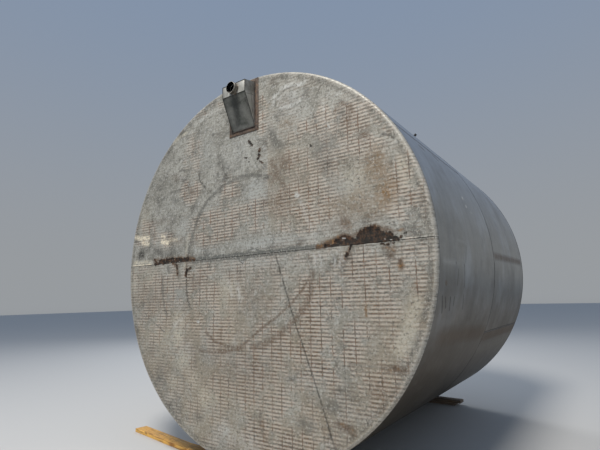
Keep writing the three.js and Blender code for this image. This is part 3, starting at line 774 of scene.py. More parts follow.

# Painted highlights: golden glints of reflected light on the plate and a bright line along the seam.
GLINT_MARKS = strokes(
    Tint.GOLDEN_GLINT,
    (0.014, 0.028, 0.95, (-1.74, 0.39), (-1.63, 0.366), (-1.5, 0.362)),
    (0.012, 0.024, 0.85, (-1.6, 0.312), (-1.5, 0.288)),
    (0.013, 0.026, 1.0, (-1.245, 0.292), (-1.15, 0.276)),
    (0.007, 0.022, 0.75, (-1.25, 0.36), (-1.2, 0.342)),
    (0.008, 0.026, 0.45, (-1.12, 0.3), (-1.0, 0.295)),
    (0.003, 0.008, 0.9, (-1.78, 0.056), (-1.42, 0.054)),
    (0.002, 0.03, 0.45, (-1.76, 0.09), (-1.44, 0.084)),
)

CLEAN_PATCHES = [
    *patches(
        Tint.CREAM,
        (-1.74, -0.08, 0.08, 0.34, 0.9, 0.55), (-1.66, 0.04, 0.14, 0.05, 0.9, 0.55),
        (-0.93, -0.56, 0.13, 0.12, 0.95, 0.8), (-0.93, -0.74, 0.11, 0.14, 0.95, 1.0),
        (-0.84, -0.98, 0.16, 0.16, 0.95, 0.85), (-0.7, -1.12, 0.13, 0.12, 0.95, 0.85),
        (-0.52, -1.28, 0.12, 0.12, 0.95, 0.8), (-0.98, -1.2, 0.13, 0.18, 0.95, 0.6),
        (-0.2, -0.26, 0.18, 0.14, 0.95, 0.5), (1.2, 0.58, 0.22, 0.24, 0.95, 0.55),
    ),
    *patches(
        Tint.PALE,
        (-1.0, -0.3, 0.17, 0.17, 0.85, 0.85), (0.92, 0.92, 0.17, 0.24, 0.9, 0.8),
        (0.98, 0.56, 0.18, 0.18, 0.9, 0.75),
    ),
    *patches(
        Tint.DUST,
        (-1.2, -0.75, 0.45, 0.4, 0.95, 0.65), (-1.45, -0.08, 0.3, 0.2, 0.95, 0.7),
        (-1.6, 0.6, 0.18, 0.26, 0.95, 0.6), (-0.35, -0.35, 0.5, 0.26, 0.95, 0.45),
        (-0.4, -1.25, 0.5, 0.4, 0.95, 0.5), (0.3, -1.25, 0.5, 0.3, 0.95, 0.4), (0.75, 0.62, 0.4, 0.24, 0.95, 0.3),
        (1.62, 0.58, 0.08, 0.24, 0.8, 0.9), (1.05, 0.06, 0.25, 0.12, 0.95, 0.4),
    ),
    *patches(
        Tint.CLEAN,
        (0.12, 0.66, 0.17, 0.17, 0.7, 0.95), (0.25, 0.15, 0.62, 0.075, 0.7, 0.95),
        (0.15, -0.03, 0.6, 0.08, 0.8, 0.7), (-0.45, 0.14, 0.4, 0.09, 0.9, 0.5), (-0.05, 1.12, 0.3, 0.34, 0.9, 0.55),
        (-0.55, 1.2, 0.22, 0.34, 0.95, 0.5), (-0.88, 0.42, 0.16, 0.14, 0.9, 0.7),
        (-1.1, 0.68, 0.24, 0.18, 0.95, 0.45), (-0.98, -0.33, 0.19, 0.19, 0.8, 0.65),
        (-0.36, -0.545, 0.14, 0.13, 0.9, 0.6), (1.17, -0.62, 0.24, 0.22, 0.95, 0.6),
        (1.14, 0.52, 0.2, 0.1, 0.9, 0.8), (0.58, 1.42, 0.26, 0.22, 0.95, 0.6), (0.45, -1.1, 0.3, 0.22, 0.95, 0.4),
    ),
]

SPOT_PATCHES = [
    *patches(
        Tint.GREY,
        (-1.33, 0.17, 0.17, 0.1, 0.9, 0.85), (-1.05, 0.15, 0.26, 0.09, 0.9, 0.7),
        (0.526, -1.03, 0.07, 0.025, 0.8, 0.8), (0.91, 0.9, 0.17, 0.2, 0.9, 0.62),
        (1.11, 1.17, 0.08, 0.07, 0.9, 0.75), (0.37, 1.08, 0.09, 0.17, 0.95, 0.65),
        (-1.28, 0.95, 0.26, 0.2, 0.95, 0.45), (-0.32, 0.98, 0.14, 0.22, 0.95, 0.5),
        (-1.15, 1.28, 0.16, 0.12, 0.95, 0.5), (0.9, -1.2, 0.16, 0.09, 0.9, 0.75),
        (0.66, -1.37, 0.13, 0.08, 0.9, 0.85), (1.05, -1.08, 0.12, 0.09, 0.95, 0.65),
        (-0.6, -1.476, 0.1, 0.07, 0.9, 0.8), (-1.2, -1.14, 0.13, 0.18, 0.95, 0.8),
        (-0.98, -1.42, 0.2, 0.1, 0.95, 0.75), (-1.38, -0.88, 0.14, 0.16, 0.95, 0.5),
    ),
    *patches(
        Tint.SOOT,
        (-1.56, -0.395, 0.065, 0.06, 0.8, 0.55), (-0.98, -0.43, 0.03, 0.026, 0.9, 0.6),
        (-1.72, -0.43, 0.028, 0.025, 0.9, 0.55), (0.9, -0.545, 0.035, 0.022, 0.9, 0.75),
        (1.02, -0.374, 0.03, 0.018, 0.9, 0.65), (-0.03, -0.014, 0.028, 0.022, 0.7, 0.5),
        (0.945, 0.735, 0.11, 0.1, 0.95, 0.55),
    ),
    *patches(
        Tint.BROWN,
        (1.08, 0.22, 0.16, 0.1, 0.95, 0.75), (0.48, 0.85, 0.16, 0.13, 0.95, 0.95),
        (0.34, 0.74, 0.08, 0.14, 0.9, 0.75), (0.42, 0.5, 0.24, 0.2, 0.95, 0.65),
        (0.64, 0.66, 0.16, 0.1, 0.95, 0.45), (-0.78, 0.79, 0.15, 0.09, 0.9, 0.75),
        (-1.02, 1.0, 0.14, 0.08, 0.95, 0.4), (-0.66, -0.18, 0.14, 0.13, 0.95, 0.65),
        (-1.42, 0.38, 0.1, 0.09, 0.95, 0.7), (-1.0, 0.27, 0.22, 0.08, 0.95, 0.55),
        (-1.35, 0.52, 0.32, 0.07, 0.95, 0.4), (-0.15, -1.0, 0.9, 0.3, 0.95, 0.4),
        (-1.38, -0.35, 0.3, 0.25, 0.95, 0.45), (0.1, -0.35, 0.3, 0.22, 0.95, 0.35),
        (1.3, 0.94, 0.08, 0.1, 0.9, 0.95), (1.18, 1.06, 0.12, 0.1, 0.95, 0.45),
        (1.036, -1.34, 0.085, 0.045, 0.8, 1.0), (1.32, -1.06, 0.15, 0.15, 0.95, 0.7),
        (1.47, -0.885, 0.09, 0.045, 0.8, 1.0),
    ),
    *patches(
        Tint.OCHRE,
        (1.45, 0.42, 0.13, 0.17, 0.95, 0.95), (1.38, 0.62, 0.16, 0.22, 0.95, 0.62),
        (1.22, 0.44, 0.22, 0.14, 0.95, 0.4), (0.52, 1.24, 0.13, 0.08, 0.95, 0.5),
        (0.95, 0.08, 0.15, 0.04, 0.9, 0.9), (1.545, -0.15, 0.04, 0.045, 0.95, 0.85),
    ),
]

PRINT_PATCHES = patches(
    None,
    (0.85, -0.62, 0.62, 0.62, 0.5, 1.0), (0.75, -0.45, 0.45, 0.45, 0.5, 1.0), (1.3, -0.3, 0.4, 0.42, 0.5, 0.95),
    (1.66, -0.12, 0.16, 0.4, 0.5, 0.8), (1.62, 0.4, 0.24, 0.42, 0.5, 1.0), (0.82, 0.9, 0.55, 0.5, 0.5, 0.75),
    (0.9, 1.15, 0.42, 0.22, 0.5, 0.85), (1.3, 1.02, 0.4, 0.36, 0.5, 0.95), (0.66, 0.42, 0.52, 0.34, 0.5, 1.0),
    (0.1, 0.42, 0.4, 0.24, 0.5, 0.75), (-0.42, 0.36, 0.56, 0.26, 0.5, 1.0), (-0.2, 0.62, 0.2, 0.34, 0.5, 0.9),
    (-0.6, -0.22, 0.45, 0.32, 0.5, 0.95), (-0.42, -0.62, 0.45, 0.4, 0.5, 0.9),
    (-1.25, -0.32, 0.55, 0.42, 0.5, 0.95), (-1.35, -0.7, 0.32, 0.32, 0.5, 0.75), (-0.78, 0.8, 0.24, 0.2, 0.5, 0.95),
    (-0.75, 1.2, 0.28, 0.4, 0.5, 0.55), (0.12, -1.12, 0.85, 0.45, 0.5, 0.85), (0.3, -0.85, 0.6, 0.42, 0.5, 0.95),
    (0.22, 1.4, 0.12, 0.3, 0.5, 0.95), (-0.5, 1.66, 0.45, 0.09, 0.5, 0.6), (-1.58, 0.42, 0.36, 0.22, 0.5, 0.8),
    (-1.2, 0.3, 0.4, 0.16, 0.5, 0.6), (0.4, -1.52, 0.75, 0.2, 0.5, 0.95), (1.35, -1.05, 0.32, 0.24, 0.5, 0.9),
)

SHELL_MARKS = [
    *shell_strokes(
        Tint.SOOT,
        (0.004, 0.01, 0.85, (-11.9, 0.146), (-15.6, 0.196)),
        (0.004, 0.009, 0.85, (-12.2, 0.228), (-14.5, 0.264)),
        (0.004, 0.01, 0.85, (-12.2, 0.35), (-15.2, 0.372)),
        (0.004, 0.009, 0.7, (-12.2, 0.453), (-14.1, 0.457)),
        (0.003, 0.009, 0.55, (-11.6, 0.711), (-15.3, 0.739)),
        (0.004, 0.012, 0.4, (1.1, 0.776), (-3.2, 0.726)),
        (0.004, 0.014, 0.45, (-3.9, 0.69), (-9.4, 0.706)),
        (0.003, 0.012, 0.4, (-5.4, 0.514), (-9.1, 0.499)),
        (0.007, 0.009, 0.8, (-3.7, 0.443), (-3.8, 0.45)),
        (0.01, 0.014, 0.85, (29.8, 0.48), (29.2, 0.56)),
        (0.008, 0.014, 0.85, (30.7, 0.88), (29.6, 0.975)),
        (0.006, 0.012, 0.7, (33.0, 0.64), (32.6, 0.7)),
    ),
    # The first brown stroke, from 1.2 to 2.0 degrees, paints a reflection of the horizon.
    *shell_strokes(
        Tint.BROWN,
        (0.01, 0.016, 0.9, (-8.7, 0.198), (-8.9, 0.212)),
        (0.014, 0.04, 0.75, (1.2, 1.93), (2.0, 3.6)),
        (0.02, 0.08, 0.45, (-21.7, 0.3), (-24.2, 1.8)),
        (0.03, 0.04, 0.45, (-26.0, 1.85), (-26.8, 3.7)),
    ),
    # The first four are painted glints: white highlights on small dents.
    *shell_strokes(
        Tint.CHALK_AND_GLINT,
        (0.011, 0.01, 1.0, (17.1, 1.118), (17.0, 1.128)),
        (0.01, 0.01, 1.0, (14.4, 1.126), (14.3, 1.136)),
        (0.005, 0.01, 0.8, (24.1, 1.14), (24.0, 1.152)),
        (0.004, 0.01, 0.8, (13.1, 1.25), (12.9, 1.28)),
        (0.006, 0.03, 0.32, (-3.8, 0.12), (-3.7, 0.52)),
        (0.004, 0.016, 0.32, (2.2, 0.526), (2.2, 0.752)),
    ),
    *shell_strokes(
        Tint.PALE,
        (0.04, 0.06, 0.3, (-31.5, 1.9), (-31.0, 3.65)),
    ),
]

SEAM_MARKS = shell_strokes(
    Tint.SOOT,
    *((0.006, 0.01, 0.95, (turn, BOTTOM_RIM_Y), (turn, PLACE.girth_y)) for turn in LOWER_SEAMS),
    *((0.006, 0.01, 0.95, (turn, PLACE.girth_y), (turn, PLACE.roof_y)) for turn in UPPER_SEAMS),
)


@dataclass(frozen=True)
class Print:
    """How bar grating printed a half plate: a line's place and the pitch, for its rows and its columns."""

    row: Pair
    column: Pair


@dataclass(frozen=True)
class BottomFinish:
    """Weathered mill plate with rust, runs, chalky scuffs and the print of bar grating, with painted glints and a
    painted highlight on the knuckle.
    """

    name: str = "Bottom plate steel"
    light: Colour = (0.43, 0.423, 0.378)
    middle: Colour = (0.28, 0.27, 0.230)
    dark: Colour = (0.088, 0.084, 0.072)
    low: Colour = (0.34, 0.288, 0.210)
    # Painted highlight on the rounded rim, where it catches the light.
    knuckle: Colour = (0.42, 0.403, 0.36)
    powder: Colour = (0.60, 0.575, 0.51)
    between: Colour = (0.60, 0.508, 0.415)
    dark_ink: Colour = (0.070, 0.047, 0.034)
    light_ink: Colour = (0.205, 0.112, 0.066)
    upper_print: Print = Print(row=(0.517, 0.0301), column=(-0.068, 0.1015))
    lower_print: Print = Print(row=(-0.127, 0.0306), column=(0.834, 0.1034))
    stray_low: float = 0.55
    stray_right: float = 0.42
    stray_left: float = 0.16
    groove_z: float = SEAM_Z - 0.003

    def build(self) -> bpy.types.Material:
        """Builds the material.

        Returns:
            The material.
        """
        made, g, shader = start_material(self.name)
        x, _, z = g.split(from_tank(g))
        flat = g.joined(x, 0.0, z)
        wobbly = g.warped(flat, 5.0, 0.03)
        ragged = g.warped(g.warped(flat, 9.0, 0.018), 34.0, 0.016)
        mottle = g.use(EFFECTS.mottle, Position=flat, Coarse=2.1, Medium=9.0, Fine=85.0)
        colour = self._base(g, flat, wobbly, mottle["Value"])
        colour = self._side_tone(g, colour, x, z, wobbly)
        colour = tinted(g, colour, CLEAN_PATCHES, wobbly, ragged, 0.2)
        colour, print_mask = self._grating(g, colour, flat)
        colour = tinted(g, colour, SPOT_PATCHES, wobbly, ragged, 0.15)
        colour = tinted(g, colour, STAIN_MARKS, g.warped(flat, 16.0, 0.012), ragged, 0.45)
        colour = tinted(g, colour, SEAM_SMEAR, ragged, ragged, 0.6)
        colour = tinted(g, colour, CHALK_MARKS, ragged, ragged, 0.0)
        # Painted golden glints.
        colour = tinted(g, colour, GLINT_MARKS, ragged, g.scaled(ragged, (0.4, 1.0, 1.8)), 0.1, 40.0)
        groove = g.math("ABSOLUTE", g.math("SUBTRACT", z, self.groove_z))
        colour = g.over(colour, groove, 0.0056, 0.0026, 0.85, Tint.SOOT.value)
        colour = self._speckle(g, self._rim(g, colour, x, z), flat)
        scale, bloom = strongest(g, SCALE_MARKS, ragged), strongest(g, BLOOM_MARKS, ragged)
        rust = g.use(EFFECTS.rust, Position=flat, Base_Color=colour, Mask=scale, Bloom=bloom)
        # Painted glints laid over the rust.
        colour = tinted(g, rust["Color"], RUST_GLINT_MARKS, flat, flat, 1.0)
        cover = g.math("MAXIMUM", rust["Cover"], g.times(print_mask, 0.5))
        rough = g.math("MULTIPLY_ADD", mottle["Value"], 0.16, 0.46)
        g.feed(
            shader,
            Base_Color=colour,
            Metallic=g.span(cover, 0.0, 1.0, 0.25, 0.0),
            Roughness=g.math("MULTIPLY_ADD", cover, 0.4, rough, clamp=True),
            Specular_IOR_Level=0.4,
        )
        relief = g.math("MULTIPLY_ADD", mottle["Height"], 0.6, g.times(rust["Height"], 1.8))
        bump(g, shader, relief, 0.0014, 0.7)
        return made

    def _base(self, g: Graph, flat: Socket, wobbly: Socket, clouds: Socket) -> Socket:
        """Bare weathered plate: clouds, wipe marks, dark smudges, scuffs and specks.

        Args:
            g: The material's graph.
            flat: The position on the plate.
            wobbly: The same, shaken.
            clouds: The mottle's value.

        Returns:
            The colour.
        """
        colour = g.mix(g.span(clouds, 0.1, 0.9), self.middle, self.light)
        smudges = g.noise(wobbly, 5.0, 8.0, 0.74)
        colour = g.over(colour, smudges, 0.50, 0.64, 0.78, self.dark)
        wipes = g.noise(wobbly, 1.0, 7.0, 0.74, (9.0, 1.0, 17.0))
        colour = g.over(colour, wipes, 0.50, 0.64, 0.55, self.dark)
        scuffs = g.noise(wobbly, 1.0, 7.0, 0.76, (18.0, 1.0, 24.0))
        colour = g.over(colour, scuffs, 0.51, 0.65, 0.66, Tint.CHALK_AND_GLINT.value)
        colour = g.over(colour, g.noise(flat, 34.0, 6.0, 0.78), 0.52, 0.66, 0.66, self.dark)
        return g.over(colour, g.noise(flat, 26.0, 3.0, 0.55), 0.67, 0.73, 0.75, Tint.SOOT.value)

    def _speckle(self, g: Graph, colour: Socket, flat: Socket) -> Socket:
        """Small pits and powdery specks all over, over the marks too."""
        colour = g.over(colour, g.noise(flat, 40.0, 5.0, 0.74), 0.48, 0.375, 0.66, self.dark)
        powder = g.noise(g.warped(flat, 20.0, 0.01), 47.0, 5.0, 0.74)
        return g.over(colour, powder, 0.52, 0.63, 0.56, self.powder)

    def _side_tone(self, g: Graph, colour: Socket, x: Socket, z: Socket, wobbly: Socket) -> Socket:
        """Browner steel to the right of a faint upright edge, and lower down.

        Args:
            g: The material's graph.
            colour: The colour so far.
            x: The place across.
            z: The height.
            wobbly: The shaken position.

        Returns:
            The new colour.
        """
        right = g.times(g.span(x, 0.280, 0.300), g.span(z, 0.15, 0.35))
        cloud = g.span(g.noise(wobbly, 2.6, 5.0, 0.65), 0.40, 0.60, 0.1, 1.0)
        right = g.times(right, g.span(x, 1.10, 0.45, 0.35, 1.0), g.span(z, 1.25, 0.80, 0.15, 1.0))
        share = g.times(g.math("MULTIPLY_ADD", cloud, 0.5, 0.5), g.times(right, 0.55))
        colour = g.mix(share, colour, self.low)
        return g.mix(g.times(g.span(z, 0.10, -0.6), cloud, 0.62), colour, self.low)

    def _grating(self, g: Graph, colour: Socket, flat: Socket) -> tuple[Socket, Socket]:
        """Prints the grating where the plate has lain on it.

        Args:
            g: The material's graph.
            colour: The colour so far.
            flat: The position on the plate.

        Returns:
            The new colour, and the mask of the printed lines.
        """
        x, _, z = g.split(g.warped(flat, 8.0, 0.005))
        above = g.math("GREATER_THAN", z, SEAM_Z)
        lower, upper = self.lower_print, self.upper_print
        row = self._counted(g, z, above, lower.row, upper.row)
        column = self._counted(g, x, above, lower.column, upper.column)
        lines = g.use(EFFECTS.print, Row=row, Column=column, Row_Pitch=lower.row[1], Column_Pitch=lower.column[1])
        low_side = g.span(z, SEAM_Z + 0.01, SEAM_Z - 0.01)
        right_side = g.span(x, 0.1, 0.35, self.stray_left, self.stray_right)
        stray = g.math("MAXIMUM", g.times(low_side, self.stray_low), right_side)
        area = strongest(g, PRINT_PATCHES, flat, stray)
        blocks = g.span(g.noise(flat, 4.6, 6.0, 0.74), 0.36, 0.56, 0.05, 1.0)
        dashes = g.span(g.noise(flat, 1.0, 3.0, 0.6, (9.0, 1.0, 40.0)), 0.32, 0.52, 0.3, 1.0)
        posts = g.span(g.noise(flat, 1.0, 3.0, 0.6, (30.0, 1.0, 4.0)), 0.36, 0.52, 0.25, 1.0)
        area = g.times(area, blocks)
        bars = g.times(lines["Bars"], dashes, area)
        strong = g.span(area, 0.30, 0.70)
        mask = g.math("MAXIMUM", bars, g.times(lines["Rods"], posts, strong))
        colour = g.mix(g.times(lines["Between"], strong, 0.74), colour, self.between)
        ink = g.mix(g.span(g.noise(flat, 22.0, 5.0, 0.7), 0.38, 0.60), self.dark_ink, self.light_ink)
        return g.mix(g.times(mask, 0.86), colour, ink), mask

    @staticmethod
    def _counted(g: Graph, place: Socket, above: Socket, low: Pair, high: Pair) -> Socket:
        """Counts a place in lines, with one start and pitch below the seam and another above it.

        Args:
            g: The material's graph.
            place: The place, across or up.
            above: One above the seam and nought below it.
            low: A line's place and the pitch below the seam.
            high: The same above it.

        Returns:
            The count.
        """
        below, over = (g.math("DIVIDE", g.math("SUBTRACT", place, line), pitch) for line, pitch in (low, high))
        return g.math("MULTIPLY_ADD", above, g.math("SUBTRACT", over, below), below)

    def _rim(self, g: Graph, colour: Socket, x: Socket, z: Socket) -> Socket:
        """A darker, dirty band inside the knuckle, and a painted highlight that makes the knuckle lighter.

        Args:
            g: The material's graph.
            colour: The colour so far.
            x: The place across.
            z: The height.

        Returns:
            The new colour.
        """
        radial = g.math("SQRT", g.math("ADD", g.times(x, x), g.times(z, z)))
        inner = PLACE.radius - 0.055
        band = g.times(g.span(radial, inner - 0.04, inner), g.span(radial, inner + 0.030, inner + 0.010))
        broken = g.span(g.noise(g.joined(x, 0.0, z), 14.0, 6.0, 0.75), 0.38, 0.58, 0.1, 0.8)
        colour = g.mix(g.times(band, broken, 0.6), colour, self.dark)
        # Painted highlight: the knuckle is made lighter.
        return g.over(colour, radial, PLACE.radius - 0.032, PLACE.radius - 0.018, 0.5, self.knuckle)


@dataclass(frozen=True)
class ShellFinish:
    """Satin rolled plate: fine streaks round the tank and dust; a painted sky reflection makes it bluish higher up and
    a painted reflection of shaded ground darkens it lower down.
    """

    name: str = "Course plate steel"
    # Painted sky reflection: the bluish colour laid on towards the top.
    high: Colour = (0.395, 0.43, 0.480)
    middle: Colour = (0.35, 0.335, 0.300)
    # Painted shade: the dark brown laid on towards the bottom stands in for a reflection of shaded ground.
    low: Colour = (0.046, 0.028, 0.006)
    heat: Colour = (0.060, 0.050, 0.042)
    worn: Colour = (0.56, 0.59, 0.63)
    grimy: Colour = (0.19, 0.185, 0.175)
    dusty: Colour = (0.22, 0.205, 0.185)
    pitted: Colour = (0.13, 0.12, 0.105)
    roughness: float = 0.30
    metallic: float = 0.88
    marks: Sequence[Mark] = ()

    def build(self) -> bpy.types.Material:
        """Builds the material.

        Returns:
            The material.
        """
        made, g, shader = start_material(self.name)
        position = from_tank(g)
        _, y, z = g.split(position)
        streaks = g.use(EFFECTS.brushing, Position=position, Stretch=(2.0, 150.0, 2.0))
        bands = g.use(EFFECTS.brushing, Position=position, Stretch=(0.7, 26.0, 0.7))
        mottle = g.use(EFFECTS.mottle, Position=position, Coarse=1.6, Medium=8.0, Fine=90.0)
        # Mask of painted shade, stronger the lower the surface is.
        shade_and_runs = g.use(EFFECTS.low_shade_and_runs, Position=position, Top=0.05, Bottom=-0.85)["Mask"]
        # Painted sky reflection, bluer higher up.
        colour = g.mix(g.span(z, 0.1, 1.30), self.middle, self.high)
        clouds = g.noise(g.warped(position, 1.5, 0.2), 1.0, 5.0, 0.62, (1.1, 1.9, 1.1))
        colour = g.over(colour, clouds, 0.50, 0.66, 0.42, self.worn)
        colour = g.over(colour, clouds, 0.49, 0.34, 0.42, self.grimy)
        colour = g.over(colour, streaks["Value"], 0.42, 0.62, 0.17, self.worn)
        colour = g.over(colour, bands["Value"], 0.46, 0.64, 0.24, self.grimy)
        # Painted shade: the lower part darkened as if it mirrored shaded ground.
        colour = g.mix(g.times(shade_and_runs, 0.92), colour, self.low)
        colour = g.over(colour, mottle["Value"], 0.35, 1.0, 0.32, self.dusty)
        colour = g.over(colour, mottle["Fine Value"], 0.65, 1.0, 0.25, self.pitted)
        dull: Value = 0.0
        if self.marks:
            ragged = g.warped(position, 30.0, 0.008)
            colour = tinted(g, colour, self.marks, ragged, position, 0.6)
            dull = strongest(g, self.marks, ragged)
        colour = self._heat_tint(g, colour, y)
        rough = g.math("MULTIPLY_ADD", streaks["Value"], 0.16, self.roughness - 0.08)
        rough = g.math("MULTIPLY_ADD", dull, 0.35, rough)
        rough = g.math("MULTIPLY_ADD", shade_and_runs, 0.14, rough)
        g.feed(
            shader,
            Base_Color=colour,
            Metallic=g.math("MULTIPLY_ADD", dull, -self.metallic, self.metallic),
            Roughness=g.math("MULTIPLY_ADD", mottle["Value"], 0.10, rough, clamp=True),
        )
        relief = g.math("MULTIPLY_ADD", streaks["Height"], 0.3, mottle["Height"])
        bump(g, shader, relief, 0.0005, 0.5)
        return made

    def _heat_tint(self, g: Graph, colour: Socket, y: Socket) -> Socket:
        """Darkens the metal beside the ring welds."""
        for place in (BOTTOM_RIM_Y, PLACE.girth_y, PLACE.roof_y + SEAM_GAP / 2):
            gap = g.math("ABSOLUTE", g.math("SUBTRACT", y, place))
            colour = g.over(colour, gap, 0.014, 0.004, 0.7, self.heat)
        return colour


@dataclass(frozen=True)
class WeldFinish:
    """Heat-darkened weld metal with a bluish-brown bloom."""

    name: str = "Weld metal"
    base: Colour = (0.14, 0.125, 0.11)
    bright: Colour = (0.34, 0.32, 0.30)

    def build(self) -> bpy.types.Material:
        """Builds the material.

        Returns:
            The material.
        """
        made, g, shader = start_material(self.name)
        position = from_tank(g)
        mottle = g.use(EFFECTS.mottle, Position=position, Coarse=6.0, Medium=45.0, Fine=260.0)
        colour = g.mix(g.span(mottle["Value"], 0.3, 0.9), self.base, self.bright)
        rusty = g.span(g.noise(position, 3.0, 4.0, 0.6), 0.5, 0.75, 0.0, 0.55)
        rust = g.use(EFFECTS.rust, Position=position, Mask=rusty, Bloom=rusty, Base_Color=colour)
        g.feed(
            shader,
            Base_Color=rust["Color"],
            Metallic=g.span(rust["Cover"], 0.0, 1.0, 0.7, 0.1),
            Roughness=g.math("MULTIPLY_ADD", mottle["Fine Value"], 0.2, 0.42),
        )
        bump(g, shader, mottle["Height"], 0.0006, 0.7)
        return made


FLOOR_MARKS = (
    *run(Tint.SOOT, 0.030, 0.030, 0.42, (0.0, -0.148, 1.615), (-0.04, -0.075, 1.46)),
    *run(Tint.SOOT, 0.014, 0.026, 0.42, (-0.04, -0.075, 1.46), (-0.072, -0.032, 1.368)),
    *run(Tint.SOOT, 0.001, 0.010, 0.60, (-0.015, -0.108, 1.53), (0.126, -0.123, 1.562)),
    *run(Tint.SOOT, 0.003, 0.012, 0.60, (0.11, -0.118, 1.55), (0.128, -0.09, 1.49)),
    *run(Tint.PALE, 0.010, 0.050, 0.55, (-0.11, -0.03, 1.364), (-0.11, -0.09, 1.492)),
    *run(Tint.PALE, 0.014, 0.050, 0.50, (0.1, -0.02, 1.343), (0.05, -0.08, 1.47)),
    *run(Tint.PALE, 0.006, 0.030, 0.60, (-0.12, -0.01, 1.322), (0.11, -0.01, 1.322)),
)
SIDE_MARKS = (
    *run(Tint.GREY, 0.040, 0.050, 0.90, (0.14, -0.12, 1.7), (0.14, -0.05, 1.7)),
    *run(Tint.PALE, 0.012, 0.030, 0.80, (0.14, -0.1, 1.56), (0.14, -0.06, 1.5)),
    *run(Tint.SOOT, 0.004, 0.016, 0.50, (0.14, -0.06, 1.62), (0.14, -0.04, 1.44)),
    *run(Tint.SOOT, 0.001, 0.008, 0.55, (0.14, -0.14, 1.6), (0.14, -0.04, 1.62)),
    *run(Tint.SOOT, 0.002, 0.020, 0.45, (0.14, -0.02, 1.62), (0.14, -0.012, 1.34)),
)


@dataclass(frozen=True)
class SumpFinish:
    """Dull plate of the sump with runs and stains; a share of painted shade tells the darker floor from the sides."""

    name: str = "Sump steel"
    light: Colour = (0.46, 0.45, 0.415)
    dark: Colour = (0.078, 0.082, 0.070)
    runs: Colour = (0.11, 0.105, 0.095)
    # How much painted shade is laid over the plate.
    painted_shade_share: float = 0.0
    marks: Sequence[Mark] = ()

    def build(self) -> bpy.types.Material:
        """Builds the material.

        Returns:
            The material.
        """
        made, g, shader = start_material(self.name)
        position = from_tank(g)
        mottle = g.use(EFFECTS.mottle, Position=position, Coarse=7.0, Medium=28.0, Fine=170.0)
        shade_and_runs = g.use(EFFECTS.low_shade_and_runs, Position=position, Top=9.0, Bottom=8.0)
        # Mottle plus the share of painted shade.
        darkened = g.math("MULTIPLY_ADD", mottle["Value"], 0.28, self.painted_shade_share, clamp=True)
        colour = g.mix(darkened, self.light, self.dark)
        colour = g.mix(g.times(shade_and_runs["Runs"], 0.40), colour, self.runs)
        if self.marks:
            colour = tinted(g, colour, self.marks, g.warped(position, 20.0, 0.006), position, 0.55)
        rough = g.math("MULTIPLY_ADD", mottle["Value"], 0.2, 0.42)
        g.feed(shader, Base_Color=colour, Metallic=0.35, Roughness=rough)
        bump(g, shader, mottle["Height"], 0.0008, 0.6)
        return made


@dataclass(frozen=True)
class DrainFinish:
    """Brown-stained pipe with a bright cut end and a bore painted black as shade."""

    centre: Pair
    inner: float
    start: float
    name: str = "Drain pipe steel"
    skin: Colour = (0.17, 0.155, 0.13)
    stain: Colour = (0.055, 0.048, 0.040)
    cut: Colour = (0.66, 0.63, 0.57)
    # Painted shade inside the bore.
    bore_shade: Colour = (0.004, 0.004, 0.004)

    def build(self) -> bpy.types.Material:
        """Builds the material.

        Returns:
            The material.
        """
        made, g, shader = start_material(self.name)
        position = from_tank(g)
        x, y, z = g.split(position)
        mottle = g.use(EFFECTS.mottle, Position=position, Coarse=9.0, Medium=40.0, Fine=180.0)
        middle = (self.centre[0], 0.0, self.centre[1])
        radial = g.vector("DISTANCE", g.joined(x, 0.0, z), middle).outputs["Value"]
        colour = g.mix(g.span(mottle["Value"], 0.2, 0.8), self.skin, self.stain)
        end = g.span(y, self.start + 0.0014, self.start + 0.0006)
        colour = g.mix(end, colour, self.cut)
        # Painted shade: the bore's inside is coloured nearly black.
        inside = g.span(radial, self.inner + 0.0009, self.inner + 0.0005)
        g.feed(
            shader,
            Base_Color=g.mix(inside, colour, self.bore_shade),
            Metallic=g.times(end, 0.5),
            Roughness=g.math("MULTIPLY_ADD", inside, 0.4, 0.5),
            Specular_IOR_Level=0.15,
        )
        bump(g, shader, mottle["Height"], 0.0008, 0.6)
        return made


@dataclass(frozen=True)
class RustedFinish:
    """Steel that is rusted over most of its face, with some bare patches."""

    name: str = "Rusted bar"
    bare: Colour = (0.122, 0.096, 0.079)
    scale: float = 0.50
    bloom: float = 0.62
    metallic: float = 0.15

    def build(self) -> bpy.types.Material:
        """Builds the material.

        Returns:
            The material.
        """
        made, g, shader = start_material(self.name)
        position = from_tank(g)
        rusty = g.span(g.noise(position, 11.0, 5.0, 0.7), 0.34, 0.62)
        scale, bloom = g.times(rusty, self.scale), g.math("MULTIPLY_ADD", rusty, 0.3, self.bloom - 0.15)
        rust = g.use(EFFECTS.rust, Position=position, Base_Color=self.bare, Mask=scale, Bloom=bloom)
        g.feed(
            shader,
            Base_Color=g.mix(0.35, rust["Color"], self.bare),
            Metallic=g.span(rust["Cover"], 0.0, 1.0, self.metallic, 0.0),
            Roughness=g.math("MULTIPLY_ADD", rust["Cover"], 0.3, 0.5),
        )
        bump(g, shader, rust["Height"], 0.0012, 0.8)
        return made


@dataclass(frozen=True)
class TimberFinish:
    """Sawn board; the colours and the weathering make it fresh or grey."""

    name: str
    light: Colour
    dark: Colour
    weathering: float
    stain: Colour = (0.16, 0.11, 0.07)

    def build(self) -> bpy.types.Material:
        """Builds the material.

        Returns:
            The material.
        """
        made, g, shader = start_material(self.name)
        position = g.node("ShaderNodeTexCoord").outputs["Object"]
        grain = g.use(EFFECTS.grain, Position=position, Light=self.light, Dark=self.dark, Weathering=self.weathering)
        stained = g.noise(position, 6.0, 5.0, 0.65)
        g.feed(shader, Base_Color=g.over(grain["Color"], stained, 0.5, 0.72, 0.45, self.stain), Roughness=0.8)
        bump(g, shader, grain["Height"], 0.0022, 0.8)
        return made


